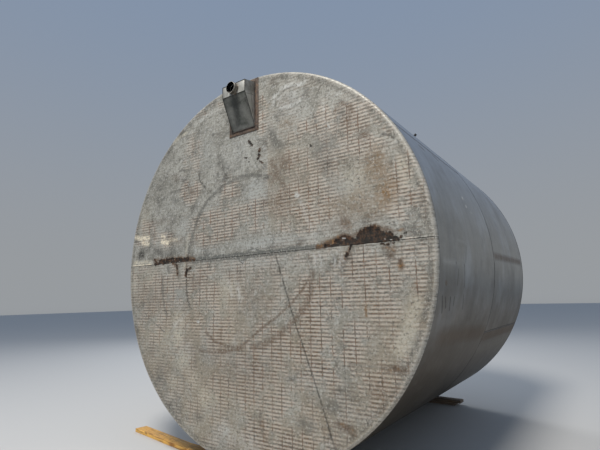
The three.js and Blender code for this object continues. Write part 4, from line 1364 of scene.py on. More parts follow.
class Finishes:
    """All the materials of the tank, each built once."""

    def __init__(self) -> None:
        """Builds the materials."""
        self.bottom = BottomFinish().build()
        self.shell = ShellFinish(marks=(*SHELL_MARKS, *SEAM_MARKS)).build()
        self.roof = ShellFinish(name="Roof steel", roughness=0.36).build()
        self.weld = WeldFinish().build()
        self.course_weld = WeldFinish("Course weld metal", (0.045, 0.040, 0.036), (0.12, 0.112, 0.10)).build()
        # Lit and shaded copies of one sump finish: a lighter plate for the end and drain face, a little painted shade
        # on the sides and much painted shade on the floor.
        self.sump = SumpFinish(light=(0.54, 0.53, 0.485)).build()
        self.sump_side = SumpFinish(name="Sump side steel with painted shade", painted_shade_share=0.15, marks=SIDE_MARKS).build()
        self.sump_floor = SumpFinish(name="Sump floor steel in painted shade", painted_shade_share=0.78, marks=FLOOR_MARKS).build()
        self.sump_weld = WeldFinish("Sump weld metal", (0.040, 0.038, 0.033), (0.11, 0.105, 0.09)).build()
        self.rusted = RustedFinish().build()
        self.foot_weld = RustedFinish("Sump foot weld", (0.050, 0.036, 0.030), 0.7, 0.35).build()
        self.fitting = ShellFinish(name="Fitting steel", roughness=0.4).build()
        self.bolt = RustedFinish("Bolt steel", (0.34, 0.33, 0.31), 0.2, 0.3, 0.7).build()
        self.fresh = TimberFinish("Fresh timber", (0.88, 0.51, 0.120), (0.42, 0.18, 0.036), 0.22).build()
        self.grey = TimberFinish("Grey timber", (0.235, 0.170, 0.115), (0.105, 0.072, 0.048), 0.4).build()


def smooth(data: bpy.types.Mesh, sharp: float) -> None:
    """Shades a mesh smooth, apart from edges that bend by more than so many degrees."""
    data.shade_smooth()
    data.set_sharp_from_angle(angle=math.radians(sharp))


@contextmanager
def edited(data: bpy.types.Mesh) -> Iterator[bmesh.types.BMesh]:
    """Opens a mesh for editing and writes it back.

    Args:
        data: The mesh.

    Yields:
        The open mesh.
    """
    work = bmesh.new()
    work.from_mesh(data)
    yield work
    work.to_mesh(data)
    work.free()


def link_mesh(name: str, data: bpy.types.Mesh, sharp: float = 35.0) -> bpy.types.Object:
    """Links a mesh to the scene as a smooth object.

    Args:
        name: The object's name.
        data: The mesh.
        sharp: Edges that bend by more degrees than this stay sharp.

    Returns:
        The object.
    """
    made = bpy.data.objects.new(name, data)
    bpy.context.scene.collection.objects.link(made)
    smooth(data, sharp)
    return made


def mesh_object(name: str, points: np.ndarray, faces: Iterable[Sequence[int]], sharp: float = 35.0) -> bpy.types.Object:
    """Makes an object from points and faces, turned outwards.

    Args:
        name: The object's name.
        points: Corner places in metres.
        faces: Corner numbers of each face.
        sharp: Edges that bend by more degrees than this stay sharp.

    Returns:
        The object.
    """
    data = bpy.data.meshes.new(name)
    data.from_pydata([tuple(p) for p in points], [], [tuple(f) for f in faces])
    with edited(data) as work:
        bmesh.ops.recalc_face_normals(work, faces=work.faces)
    return link_mesh(name, data, sharp)


def apply_modifiers(piece: bpy.types.Object, sharp: float) -> None:
    """Makes a piece's modifiers part of its mesh and smooths it.

    Args:
        piece: The piece.
        sharp: Edges that bend by more degrees than this stay sharp.
    """
    graph = bpy.context.evaluated_depsgraph_get()
    done = bpy.data.meshes.new_from_object(piece.evaluated_get(graph))
    piece.modifiers.clear()
    old, piece.data = piece.data, done
    bpy.data.meshes.remove(old)
    smooth(done, sharp)


def grid_faces(rows: int, columns: int, wrap_rows: bool, wrap_columns: bool) -> list[Sequence[int]]:
    """Gives the quads of a grid of points.

    Args:
        rows: Points one way.
        columns: Points the other way.
        wrap_rows: Whether the last row meets the first.
        wrap_columns: Whether the last column meets the first.

    Returns:
        The corner numbers of each quad.
    """
    faces: list[Sequence[int]] = []
    for i in range(rows if wrap_rows else rows - 1):
        for j in range(columns if wrap_columns else columns - 1):
            k, m = (i + 1) % rows, (j + 1) % columns
            faces.append((i * columns + j, i * columns + m, k * columns + m, k * columns + j))
    return faces


def tube_faces(rows: int, columns: int, closed: bool) -> list[Sequence[int]]:
    """Gives the faces of a tube of rings of points, closed on itself or with a cap at each end.

    Args:
        rows: How many rings.
        columns: Points in each ring.
        closed: Whether the last ring meets the first.

    Returns:
        The corner numbers of each face.
    """
    faces = grid_faces(rows, columns, closed, True)
    if not closed:
        faces += [range(columns), range((rows - 1) * columns, rows * columns)]
    return faces


def turned_ring(
    name: str,
    profile: Sequence[Pair],
    steps: int,
    start: float = 0.0,
    end: float = 360.0,
    centre: Pair = (0.0, 0.0),
    shift: Callable[[np.ndarray, np.ndarray], np.ndarray] | None = None,
) -> bpy.types.Object:
    """Turns a closed profile of radius and y round the Y axis.

    Args:
        name: The object's name.
        profile: Closed outline, each point once.
        steps: Steps round the turn.
        start: First angle in degrees, from +X towards +Z.
        end: Last angle; a full turn closes on itself.
        centre: x and z of the turning axis, from the tank's axis.
        shift: Gives how far each point moves out, from its angle and its y.

    Returns:
        The object.
    """
    full = abs(end - start - 360.0) < 1e-6
    angles = np.radians(np.linspace(start, end, steps + 1)[: steps if full else steps + 1])
    radius, y = np.array(profile).T
    turn, r = np.meshgrid(angles, radius, indexing="ij")
    along = np.broadcast_to(y, r.shape)
    if shift is not None:
        r = r + shift(turn, along)
    points = np.stack([centre[0] + r * np.cos(turn), along, centre[1] + r * np.sin(turn)], -1).reshape(-1, 3)
    return mesh_object(name, PLACE.moved(points), tube_faces(len(angles), len(profile), full))


def rod(name: str, spot: Pair, radius: float, low: float, high: float, sides: int, core: float) -> bpy.types.Object:
    """Makes a rod or a prism along the tank's axis, from low to high, with a hair-thin core left open."""
    return turned_ring(name, [(core, low), (radius, low), (radius, high), (core, high)], sides, centre=spot)


@dataclass(frozen=True)
class Bead:
    """A rippled weld bead: its width, how proud and how deep it is, from ripple to ripple, and its step."""

    width: float
    height: float
    root: float
    pitch: float = 0.009
    step: float = 0.0045

    def lay(self, name: str, path: np.ndarray, outward: np.ndarray, closed: bool, seed: int) -> bpy.types.Object:
        """Lays the bead along a path.

        Args:
            name: The object's name.
            path: Points on the surface along the weld, from the tank's own place.
            outward: The direction away from the surface at each point.
            closed: Whether the path closes on itself.
            seed: Seed of the small unevenness.

        Returns:
            The object.
        """
        loop = np.vstack([path, path[:1]]) if closed else path
        normals = np.vstack([outward, outward[:1]]) if closed else outward
        lengths = np.concatenate([[0.0], np.cumsum(np.linalg.norm(np.diff(loop, axis=0), axis=1))])
        count = max(4, int(lengths[-1] / self.step))
        s = np.linspace(0, lengths[-1], count + 1)[: count if closed else count + 1]
        centre, out = (np.stack([np.interp(s, lengths, line[:, k]) for k in range(3)], -1) for line in (loop, normals))
        way = np.roll(centre, -1, 0) - np.roll(centre, 1, 0) if closed else np.gradient(centre, axis=0)
        out, way = (line / np.linalg.norm(line, axis=1, keepdims=True) for line in (out, way))
        side = np.cross(way, out)
        knots = np.random.default_rng(seed).uniform(-1, 1, max(6, int(lengths[-1] / 0.05)))
        uneven = np.interp(s / lengths[-1] * (len(knots) - 1), np.arange(len(knots)), knots)
        lift = self.height * (1 + 0.22 * np.sin(TURN * s / self.pitch) + 0.18 * uneven)
        spread = self.width / 2 * (1 + 0.08 * np.sin(TURN * s / self.pitch + 1.3) + 0.10 * uneven)
        section = np.radians([-90, -50, -18, 18, 50, 90])
        rows = [centre + side * (spread * math.sin(t))[:, None] + out * (lift * math.cos(t))[:, None] for t in section]
        rows += [centre + side * (half * self.width * 0.22) - out * self.root for half in (1, -1)]
        points = np.stack(rows, 1).reshape(-1, 3)
        return mesh_object(name, PLACE.moved(points), tube_faces(len(s), len(rows), closed), 60.0)

    def ring(
        self, name: str, turn: np.ndarray, radius: Line, y: Line, lean: float, seed: int, centre: Pair = (0.0, 0.0)
    ) -> bpy.types.Object:
        """Lays the bead round a ring about an axis along Y.

        Args:
            name: The object's name.
            turn: Angles round the ring.
            radius: The ring's radius, one for all or one for each angle.
            y: Its place along Y, one for all or one for each angle.
            lean: How much the outward direction leans to +Y.
            seed: Seed of the small unevenness.
            centre: x and z of the ring's axis.

        Returns:
            The object.
        """
        x, z = centre[0] + radius * np.cos(turn), centre[1] + radius * np.sin(turn)
        path = np.stack([x, np.broadcast_to(y, x.shape), z], -1)
        out = np.stack([np.cos(turn), np.full_like(turn, lean), np.sin(turn)], -1)
        return self.lay(name, path, out, True, seed)


def around(steps: int) -> np.ndarray:
    """Gives the angles of so many steps round a full turn."""
    return np.linspace(0, TURN, steps, endpoint=False)


def fillet(name: str, ends: Sequence[Place3], outward: Sequence[float], size: float, seed: int) -> bpy.types.Object:
    """Lays a fillet weld along a straight joint.

    Args:
        name: The object's name.
        ends: The joint's two ends, from the tank's own place.
        outward: The direction that the weld faces.
        size: Its width.
        seed: Seed of the small unevenness.

    Returns:
        The object.
    """
    path, normal = np.array(ends, dtype=float), np.array(outward, dtype=float)
    normal = np.broadcast_to(normal / np.linalg.norm(normal), path.shape)
    return Bead(size, size * 0.45, size * 0.2, 0.006, 0.003).lay(name, path, normal, False, seed)


def softened_copy(node: str, width: float, segments: int = 2) -> bpy.types.Object:
    """Copies a node's solid with its edges rounded over.

    Args:
        node: The node's name.
        width: How wide the rounding is.
        segments: Faces across the rounding.

    Returns:
        The new object.
    """
    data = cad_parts[node].data.copy()
    with edited(data) as work:
        bmesh.ops.remove_doubles(work, verts=work.verts, dist=1e-5)
        bmesh.ops.dissolve_limit(work, angle_limit=math.radians(1.0), verts=work.verts, edges=work.edges)
        bmesh.ops.recalc_face_normals(work, faces=work.faces)
    data.materials.clear()
    piece = link_mesh(f"{node}_made", data)
    rounding = piece.modifiers.new("rounding", "BEVEL")
    rounding.width = width
    rounding.segments = segments
    rounding.limit_method = "ANGLE"
    rounding.angle_limit = math.radians(25)
    apply_modifiers(piece, 40)
    return piece


def box_object(name: str, x: Pair, y: Pair, z: Pair) -> bpy.types.Object:
    """Makes a plain box between three pairs of limits."""
    points = np.array([(a, b, c) for a in x for b in y for c in z])
    faces = [(0, 1, 3, 2), (4, 6, 7, 5), (0, 4, 5, 1), (2, 3, 7, 6), (0, 2, 6, 4), (1, 5, 7, 3)]
    return mesh_object(name, points, faces)


def cut_with(piece: bpy.types.Object, cutter: bpy.types.Object) -> None:
    """Cuts one object's shape out of a piece.

    Args:
        piece: The piece.
        cutter: What is cut out of it.
    """
    cut = piece.modifiers.new("cut", "BOOLEAN")
    cut.operation = "DIFFERENCE"
    cut.solver = "EXACT"
    cut.object = cutter
    bpy.context.view_layer.update()
    apply_modifiers(piece, 30)


def dress(piece: bpy.types.Object, finish: bpy.types.Material, slot: Slot, *nodes: str) -> None:
    """Gives a piece its finish and its body, and hides the nodes that it stands for.

    Args:
        piece: The piece.
        finish: Its material.
        slot: Not used.
        nodes: The nodes that it replaces.
    """
    piece.data.materials.clear()
    piece.data.materials.append(finish)
    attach(piece, BODY)
    if nodes:
        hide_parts(*nodes)
    LOG.info("%s: %d faces", piece.name, len(piece.data.polygons))


def joined(name: str, parts: Sequence[bpy.types.Object]) -> bpy.types.Object:
    """Joins several objects' meshes into one object.

    Args:
        name: The new object's name.
        parts: The objects, which are used up.

    Returns:
        The new object.
    """
    work = bmesh.new()
    for part in parts:
        copy = part.data.copy()
        copy.transform(part.matrix_world)
        work.from_mesh(copy)
        bpy.data.meshes.remove(copy)
    data = bpy.data.meshes.new(name)
    work.to_mesh(data)
    work.free()
    for part in parts:
        old = part.data
        bpy.data.objects.remove(part)
        bpy.data.meshes.remove(old)
    return link_mesh(name, data)


@dataclass
class Shell:
    """The two rolled courses, their long seams and the three ring welds."""

    finishes: Finishes
    plate: float = 3 / 16 * INCH
    nick: float = 0.0008
    clip_rounding: float = 0.0015
    bead_width: float = 0.011
    bead_height: float = 0.0015
    angle_step: float = 1.5
    rows: int = 36
    seam_steps: int = 60
    ring_steps: int = 720
    pinch: float = 0.0016
    ripple: float = 0.0011

    @property
    def bead(self) -> Bead:
        """The bead of the shell's welds."""
        return Bead(self.bead_width, self.bead_height, self.plate)

    def wave(self, turn: np.ndarray, y: np.ndarray) -> np.ndarray:
        """How far the shell stands out of round: gentle waves, drawn in at the welds.

        Args:
            turn: Angles round the tank.
            y: Places along it.

        Returns:
            The distance outwards.
        """
        waves = np.sin(5 * turn + 1.7 * y + 0.6) * np.sin(2.1 * y + 0.8) + 0.6 * np.sin(11 * turn - 2.3 * y)
        drawn = sum(np.exp(-(((y - w) / 0.055) ** 2)) for w in (BOTTOM_RIM_Y, PLACE.girth_y, PLACE.roof_y))
        rest = np.clip(1 - np.exp(-(((turn % TURN - 1.5 * math.pi) / 0.12) ** 2)), 0, 1)
        return (-self.ripple * 0.5 * (1 + 0.5 * waves) - self.pinch * 0.5 * drawn) * rest

    def _profile(self, low: float, high: float) -> list[Pair]:
        """Outline of a course: rounded plate edges with rows of points between."""
        outer, inner, nicked = PLACE.radius, PLACE.radius - self.plate, PLACE.radius - self.nick
        inside = np.linspace(low + self.nick, high - self.nick, self.rows)
        return [(outer, v) for v in inside] + [(nicked, high), (inner, high), (inner, low), (nicked, low)]

    def build(self) -> None:
        """Builds both courses and their welds."""
        half = SEAM_GAP / 2
        self._course("lower", BOTTOM_RIM_Y + half, PLACE.girth_y - half, LOWER_SEAMS)
        self._course("upper", PLACE.girth_y + half, PLACE.roof_y, UPPER_SEAMS)
        self._ring("bottom_rim_weld", BOTTOM_RIM_Y, 11)
        self._ring("girth_weld", PLACE.girth_y, 12)
        self._ring("roof_rim_weld", PLACE.roof_y + half, 13)
        dress(softened_copy("shell_clip", self.clip_rounding), self.finishes.course_weld, Slot.WELD, "shell_clip")

    def _course(self, label: str, low: float, high: float, seams: Pair) -> None:
        """Builds the two half-round plates of a course and the beads of its long seams.

        Args:
            label: The course's name.
            low: Where it starts along the tank.
            high: Where it ends.
            seams: Angles of its long seams in degrees.
        """
        profile = self._profile(low, high)
        margin = math.degrees(SEAM_GAP / 2 / PLACE.radius)
        for start, end, letter, first in ((*seams, "a", 1), (seams[1], seams[0] + 360, "b", 4)):
            name, steps = f"{label}_shell_plate_{letter}", round((end - start) / self.angle_step)
            piece = turned_ring(name, profile, steps, start + margin, end - margin, shift=self.wave)
            nodes = (f"{label}_course_plate_{i}" for i in range(first, first + 3))
            dress(piece, self.finishes.shell, Slot.SHELL, *nodes)
        for i, turn in enumerate(map(math.radians, seams)):
            along = np.linspace(low, high, self.seam_steps)
            radius = PLACE.radius + self.wave(np.full_like(along, turn), along)
            path = np.stack([radius * math.cos(turn), along, radius * math.sin(turn)], -1)
            out = np.broadcast_to([math.cos(turn), 0.0, math.sin(turn)], path.shape)
            made = self.bead.lay(f"{label}_long_weld_{i + 1}", path, out, False, 20 + i)
            dress(made, self.finishes.course_weld, Slot.WELD, f"{label}_course_weld_{i + 1}")

    def _ring(self, node: str, y: float, seed: int) -> None:
        """Lays a ring weld round the shell in place of a node."""
        turn = around(self.ring_steps)
        radius = PLACE.radius + self.wave(turn, np.full_like(turn, y))
        made = self.bead.ring(f"{node}_bead", turn, radius, y, 0.0, seed)
        dress(made, self.finishes.course_weld, Slot.WELD, node)


@dataclass
class Bottom:
    """The flanged bottom: two half plates, and the weld across the middle."""

    finishes: Finishes
    plate: float = 0.25 * INCH
    knuckle: float = 0.025
    skirt: float = 0.037
    steps: int = 288
    rings: int = 44
    bends: int = 9
    buckle: float = 0.0035
    sump_middle: Pair = (-0.012, 1.534)
    sump_reach: Pair = (0.24, 0.33)
    lip: float = 0.006
    low_lip: float = 0.0095
    throat: Pair = (-0.02, 0.03)
    bead: Bead = Bead(0.012, 0.0014, 0.25 * INCH * 0.9)

    def sag(self, x: np.ndarray, z: np.ndarray) -> np.ndarray:
        """How far the plate stands inwards of flat: shallow buckles, none at the rim or the sump.

        Args:
            x: Places across.
            z: Places up.

        Returns:
            The distance inwards.
        """
        radial = np.hypot(x, z) / PLACE.radius
        waves = 0.5 + 0.25 * np.sin(2.9 * x + 0.8 * z + 0.9) + 0.25 * np.sin(1.1 * x - 3.7 * z + 2.2)
        drawn = np.exp(-(((z - SEAM_Z) / 0.07) ** 2)) * 0.35
        edge = np.clip((1 - radial) / 0.16, 0, 1) ** 2
        near = [np.abs(v - m) / r for v, m, r in zip((x, z), self.sump_middle, self.sump_reach)]
        clear = np.clip((np.maximum(*near) - 1) / 0.6, 0, 1)
        return self.buckle * (waves + drawn) * edge * clear

    def _profile(self) -> list[Pair]:
        """Outline of the dish from the middle of its outer face round to the middle of its inner face.

        Returns:
            Radius and y of each point.
        """
        bend = PLACE.radius - self.knuckle
        turn = np.radians(np.linspace(-90, 0, self.bends))
        inside = self.knuckle - self.plate
        flat = [(r, 0.0) for r in np.linspace(0, bend, self.rings)[:-1]]
        outer, inner = ([(bend + r * math.cos(a), self.knuckle + r * math.sin(a)) for a in turns]
                        for r, turns in ((self.knuckle, turn), (inside, turn[::-1])))
        back = [(r, self.plate) for r in np.linspace(bend, 0, self.rings)[1:]]
        return [*flat, *outer, (PLACE.radius, self.skirt), (PLACE.radius - self.plate, self.skirt), *inner, *back]

    def _dish(self) -> bpy.types.Object:
        """The whole dish as one closed mesh, with its buckles.

        Returns:
            The object.
        """
        radius, y = np.array(self._profile()[1:-1]).T
        t, r = np.meshgrid(around(self.steps), radius, indexing="ij")
        x, z = r * np.cos(t), r * np.sin(t)
        points = np.stack([x, np.broadcast_to(y, r.shape) + self.sag(x, z), z], -1).reshape(-1, 3)
        columns, first = len(radius), len(points)
        faces = grid_faces(self.steps, columns, True, False)
        centre = float(self.sag(np.zeros(1), np.zeros(1))[0])
        ends = np.array([[0.0, centre, 0.0], [0.0, self.plate + centre, 0.0]])
        for i in range(self.steps):
            k = (i + 1) % self.steps
            faces.append((first, i * columns, k * columns))
            faces.append((first + 1, k * columns + columns - 1, i * columns + columns - 1))
        return mesh_object("dish", PLACE.moved(np.vstack([points, ends])), faces, 30.0)

    def build(self) -> None:
        """Builds the half plates and the seam weld."""
        whole = self._dish()
        low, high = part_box("sump_floor")[0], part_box("sump_end")[1]
        across, up = (low.x + self.lip, high.x - self.lip), (low.z + self.low_lip, high.z - self.lip)
        cutter = box_object("cutter", across, tuple(PLACE.face_y + v for v in self.throat), up)
        half, seam = SEAM_GAP / 2, PLACE.axis_z + SEAM_Z
        upper = self._half(whole, "bottom_plate_upper", seam + half, True)
        cut_with(upper, cutter)
        dress(upper, self.finishes.bottom, Slot.BOTTOM, "bottom_plate_upper")
        lower = self._half(whole, "bottom_plate_lower", seam - half, False)
        dress(lower, self.finishes.bottom, Slot.BOTTOM, "bottom_plate_lower")
        bpy.data.objects.remove(whole)
        bpy.data.objects.remove(cutter)
        self._seam_weld()

    @staticmethod
    def _half(whole: bpy.types.Object, node: str, height: float, keep_above: bool) -> bpy.types.Object:
        """Cuts one half plate from the dish.

        Args:
            whole: The dish.
            node: The half plate's node.
            height: Where the cut is.
            keep_above: Whether the part above the cut is kept.

        Returns:
            The half plate.
        """
        data = whole.data.copy()
        with edited(data) as work:
            cut = bmesh.ops.bisect_plane(
                work, geom=[*work.verts, *work.edges, *work.faces], dist=1e-7,
                plane_co=(0, 0, height), plane_no=(0, 0, 1), clear_outer=not keep_above, clear_inner=keep_above,
            )
            edges = [e for e in cut["geom_cut"] if isinstance(e, bmesh.types.BMEdge)]
            bmesh.ops.holes_fill(work, edges=edges, sides=0)
            bmesh.ops.recalc_face_normals(work, faces=work.faces)
        return link_mesh(f"{node}_dished", data, 30.0)

    def _seam_weld(self) -> None:
        """Lays the weld along the joint of the half plates, round both knuckles."""
        outline = np.array(self._profile()[: self.rings + self.bends])
        outline = outline[outline[:, 0] > SEAM_Z]
        x = np.sqrt(outline[:, 0] ** 2 - SEAM_Z ** 2)
        z = np.full_like(x, SEAM_Z)
        y = outline[:, 1] + self.sag(x, z)
        path = np.vstack([np.stack([-x, y, z], -1)[::-1], np.stack([x, y, z], -1)])
        out = np.cross([0.0, 0.0, 1.0], np.gradient(path, axis=0))
        out /= np.linalg.norm(out, axis=1, keepdims=True)
        out = out if out[len(out) // 2][1] < 0 else -out
        made = self.bead.lay("bottom_seam_bead", path, out, False, 31)
        dress(made, self.finishes.bottom, Slot.WELD, "bottom_seam_weld")


@dataclass
class Sump:
    """The drain sump on the bottom plate, its flat-bar frame and the drain stub."""

    finishes: Finishes
    pipe_outer: float = 114.3 / 2000
    pipe_wall: float = 0.00305
    nick: float = 0.0008
    plate_rounding: float = 0.0006
    frame_rounding: float = 0.0014
    fillet: float = 0.007
    foot_fillet: float = 0.014
    foot_y: float = -0.007
    frame_fillet: float = 0.009
    frame_y: float = -0.001
    stub_bead: Bead = Bead(0.008, 0.0035, 0.002, 0.006, 0.003)

    def build(self) -> None:
        """Builds the sump's plates, welds, frame and stub."""
        made = self.finishes
        plates = {"sump_floor": made.sump_floor, "sump_end": made.sump, "drain_face": made.sump}
        plates |= {"sump_side_left": made.sump_side, "sump_side_right": made.sump_side}
        for node, finish in plates.items():
            dress(softened_copy(node, self.plate_rounding), finish, Slot.SUMP, node)
        dress(softened_copy("sump_frame", self.frame_rounding), made.rusted, Slot.RUSTED, "sump_frame")
        self._welds()
        self._pipe()

    def _welds(self) -> None:
        """Lays corner welds along the sump's edges, at its foot and round its frame."""
        (left, out_y, low_z), (_, _, high_z) = PLACE.box("sump_side_left")
        right = PLACE.box("sump_side_right")[1][0]
        face_low, face_high = (corner[2] for corner in PLACE.box("drain_face"))
        outline = [(0.0, low_z), (out_y, face_low), (out_y, face_high), (0.0, high_z)]
        beads = []
        for number, (x, side) in enumerate(((left + 0.0035, -1.0), (right - 0.0035, 1.0))):
            path = [(x, y, z) for y, z in outline]
            for k, (a, b) in enumerate(zip(path, path[1:])):
                out = np.cross(np.subtract(b, a), (1.0, 0.0, 0.0))
                out = out / np.linalg.norm(out)
                out = out if out[1] < 0 or k == 2 and out[2] > 0 else -out
                out = out + np.array([0.25 * side, 0, 0])
                beads.append(fillet(f"corner_{number}_{k}", [a, b], out, self.fillet, 40 + 4 * number + k))
        for k, lean in ((1, -0.6), (2, 0.6)):
            ends = [(x, *outline[k]) for x in (left + 0.004, right - 0.004)]
            beads.append(fillet(f"fold_{k}", ends, (0, -1, lean), self.fillet, 50 + k))
        dress(joined("sump_corner_welds", beads), self.finishes.sump_weld, Slot.WELD)
        corners = [(left, low_z - 0.002), (right, low_z - 0.002), (right, high_z + 0.002), (left, high_z + 0.002)]
        runs = ((corners[0], corners[1], (0, -1, -1)), (corners[1], corners[2], (1, -1, 0)),
                (corners[0], corners[3], (-1, -1, 0)))
        foot = self._flat_fillets("sump_foot_welds", self.foot_y, runs, self.foot_fillet, 56)
        dress(foot, self.finishes.foot_weld, Slot.WELD)
        (x0, _, z0), (x1, _, z1) = PLACE.box("sump_frame")
        corners = [(x0, z0), (x1, z0), (x1, z1), (x0, z1)]
        runs = zip(corners, corners[1:] + corners[:1], ((0, -1, -1), (1, -1, 0), (0, -1, 1), (-1, -1, 0)))
        around_frame = self._flat_fillets("sump_frame_welds", self.frame_y, runs, self.frame_fillet, 60)
        dress(around_frame, self.finishes.rusted, Slot.WELD)

    @staticmethod
    def _flat_fillets(
        name: str, y: float, runs: Iterable[tuple[Pair, Pair, Place3]], size: float, seed: int
    ) -> bpy.types.Object:
        """Lays fillet welds between places at one distance from the bottom plate.

        Args:
            name: The joined object's name.
            y: The distance.
            runs: Each has a start and an end in x and z and the direction that the weld faces.
            size: Width of the welds.
            seed: Seed of the first one.

        Returns:
            The welds as one object.
        """
        welds = (([(a[0], y, a[1]), (b[0], y, b[1])], way) for a, b, way in runs)
        return joined(name, [fillet(f"run_{k}", ends, way, size, seed + k) for k, (ends, way) in enumerate(welds)])

    def _pipe(self) -> None:
        """The drain stub, open at both ends, with its weld to the face."""
        (x0, start, z0), (x1, end, z1) = PLACE.box("drain_pipe")
        centre = ((x0 + x1) / 2, (z0 + z1) / 2)
        outer, inner, nicked = self.pipe_outer, self.pipe_outer - self.pipe_wall, start + self.nick
        mouth = [(inner + self.nick, start), (outer - self.nick, start), (outer, nicked)]
        stub = turned_ring("drain_stub", [*mouth, (outer, end), (inner, end), (inner, nicked)], 72, centre=centre)
        finish = DrainFinish(centre=centre, inner=inner, start=start).build()
        dress(stub, finish, Slot.DRAIN, "drain_pipe")
        weld = self.stub_bead.ring("drain_stub_weld", around(72), outer, end - 0.001, -1.0, 70, centre)
        dress(weld, self.finishes.weld, Slot.WELD)


@dataclass
class Roof:
    """The cone roof in four plates, with its manway, vent and lifting lugs."""

    finishes: Finishes
    plate: float = 3 / 16 * INCH
    knuckle: float = 0.025
    slope: float = math.radians(10)
    skirt: float = 0.019
    first_cut: float = 45.0
    sectors: int = 4
    gap: float = 0.05
    eye: float = 0.2543
    neck: float = 0.254
    neck_wall: float = 0.00635
    neck_flange: float = 0.0127
    neck_nick: float = 0.0015
    cover_seat: float = 0.0072
    cover_inset: float = 0.006
    bolts: int = 16
    bolt_size: float = 0.008
    vent: float = 0.04445
    vent_wall: float = 0.0055
    vent_flange: float = 0.014
    vent_nick: float = 0.001
    vent_hole: float = 0.0449
    vent_bolts: int = 4
    vent_circle: float = 0.076
    vent_bolt_hole: float = 0.0095
    core: float = 0.0002
    bolt_core: float = 0.0003
    joint_bead: Bead = Bead(0.012, 0.002, 0.003)
    neck_bead: Bead = Bead(0.012, 0.004, 0.003)
    vent_bead: Bead = Bead(0.009, 0.003, 0.003, step=0.003)
    lug_rounding: float = 0.002
    lug_fillet: float = 0.009
    lug_gap: float = 0.001

    @property
    def start(self) -> float:
        """Where the roof's skirt starts along the axis."""
        return PLACE.box("roof_plate_1")[0][1]

    def height(self, radius: Line) -> Line:
        """Gives the place along the axis of the cone's outer face at a distance from the axis."""
        bend_y = self.start + self.skirt + self.knuckle * math.cos(self.slope)
        bend_r = PLACE.radius - self.knuckle + self.knuckle * math.sin(self.slope)
        return bend_y + (bend_r - radius) * math.tan(self.slope)

    def _profile(self) -> list[Pair]:
        """Closed outline of the roof plate from its skirt to the manway and back.

        Returns:
            Radius and y of each point.
        """
        bend = (PLACE.radius - self.knuckle, self.start + self.skirt)
        turn = np.linspace(0, math.pi / 2 - self.slope, 8)
        outer, inner = ([(bend[0] + r * math.cos(a), bend[1] + r * math.sin(a)) for a in turns]
                        for r, turns in ((self.knuckle, turn), (self.knuckle - self.plate, turn[::-1])))
        radii = np.linspace(outer[-1][0], self.eye, 20)[1:]
        drop = self.plate / math.cos(self.slope)
        cone = [(r, self.height(r)) for r in radii]
        back = [(r, self.height(r) - drop) for r in radii[::-1][:-1]]
        return [(PLACE.radius, self.start), *outer, *cone, *back, *inner, (PLACE.radius - self.plate, self.start)]

    def build(self) -> None:
        """Builds the roof and everything on it."""
        profile = self._profile()
        span = 360 / self.sectors
        (x0, _, z0), (x1, _, z1) = PLACE.box("vent_nozzle")
        centre = ((x0 + x1) / 2, (z0 + z1) / 2)
        hole = rod("hole", centre, self.vent_hole, self.start, self.start + 0.5, 48, self.core)
        for i in range(self.sectors):
            first = self.first_cut + i * span
            node = f"roof_plate_{i + 1}"
            low_x, _, low_z = PLACE.box(node)[0]
            piece = turned_ring(f"{node}_cone", profile, 60, first + self.gap, first + span - self.gap)
            if low_x <= x0 and low_z > -0.1:
                cut_with(piece, hole)
            dress(piece, self.finishes.roof, Slot.SHELL, node)
            self._joint(i, math.radians(first))
        bpy.data.objects.remove(hole)
        self._manway()
        self._vent(centre)
        self._lugs()

    def _joint(self, number: int, turn: float) -> None:
        """Lays the weld between two roof plates, from the manway to the skirt.

        Args:
            number: The weld's number, from nought.
            turn: Its angle round the tank.
        """
        way, along = np.array([math.cos(turn), 0.0, math.sin(turn)]), np.array([0.0, 1.0, 0.0])
        radii = np.linspace(self.eye + 0.004, PLACE.radius - 0.03, 40)
        path = np.array([way * r + along * self.height(r) for r in radii])
        out = np.broadcast_to(way * math.sin(self.slope) + along * math.cos(self.slope), path.shape)
        made = self.joint_bead.lay(f"roof_joint_weld_{number + 1}", path, out, False, 80 + number)
        dress(made, self.finishes.weld, Slot.WELD)

    def _manway(self) -> None:
        """The manway neck with its flange, and the bolted cover."""
        (x0, start, _), (x1, end, _) = PLACE.box("manway_neck")
        cover_low, cover_high = (corner[1] for corner in PLACE.box("manway_cover"))
        rim, outer, nick = (x1 - x0) / 2, self.neck, self.neck_nick
        bore, flange, seat = outer - self.neck_wall, end - self.neck_flange, cover_low + self.cover_seat
        neck = [
            (bore, start), (outer, start), (outer, flange), (rim - nick, flange),
            (rim, flange + nick), (rim, end - nick), (rim - nick, end), (bore, end),
        ]
        raised = outer - self.cover_inset
        lid = [
            (self.core, cover_low), (rim - nick, cover_low), (rim, cover_low + nick), (rim, seat - nick),
            (rim - nick, seat), (raised + 0.004, seat), (raised + 0.001, cover_high - nick),
            (raised - nick, cover_high), (self.core, cover_high),
        ]
        for node, profile in (("manway_neck", neck), ("manway_cover", lid)):
            dress(turned_ring(f"{node}_made", profile, 96), self.finishes.fitting, Slot.FITTING, node)
        self._bolts((rim + outer) / 2, flange, seat)
        weld = self.neck_bead.ring("manway_weld", around(96), outer, self.height(outer), 1.0, 90)
        dress(weld, self.finishes.weld, Slot.WELD)

    @staticmethod
    def _circle(centre: Pair, radius: float, count: int) -> list[Pair]:
        """Places of so many bolts round a circle, in x and z."""
        turns = (TURN * (i + 0.5) / count for i in range(count))
        return [(centre[0] + radius * math.cos(turn), centre[1] + radius * math.sin(turn)) for turn in turns]

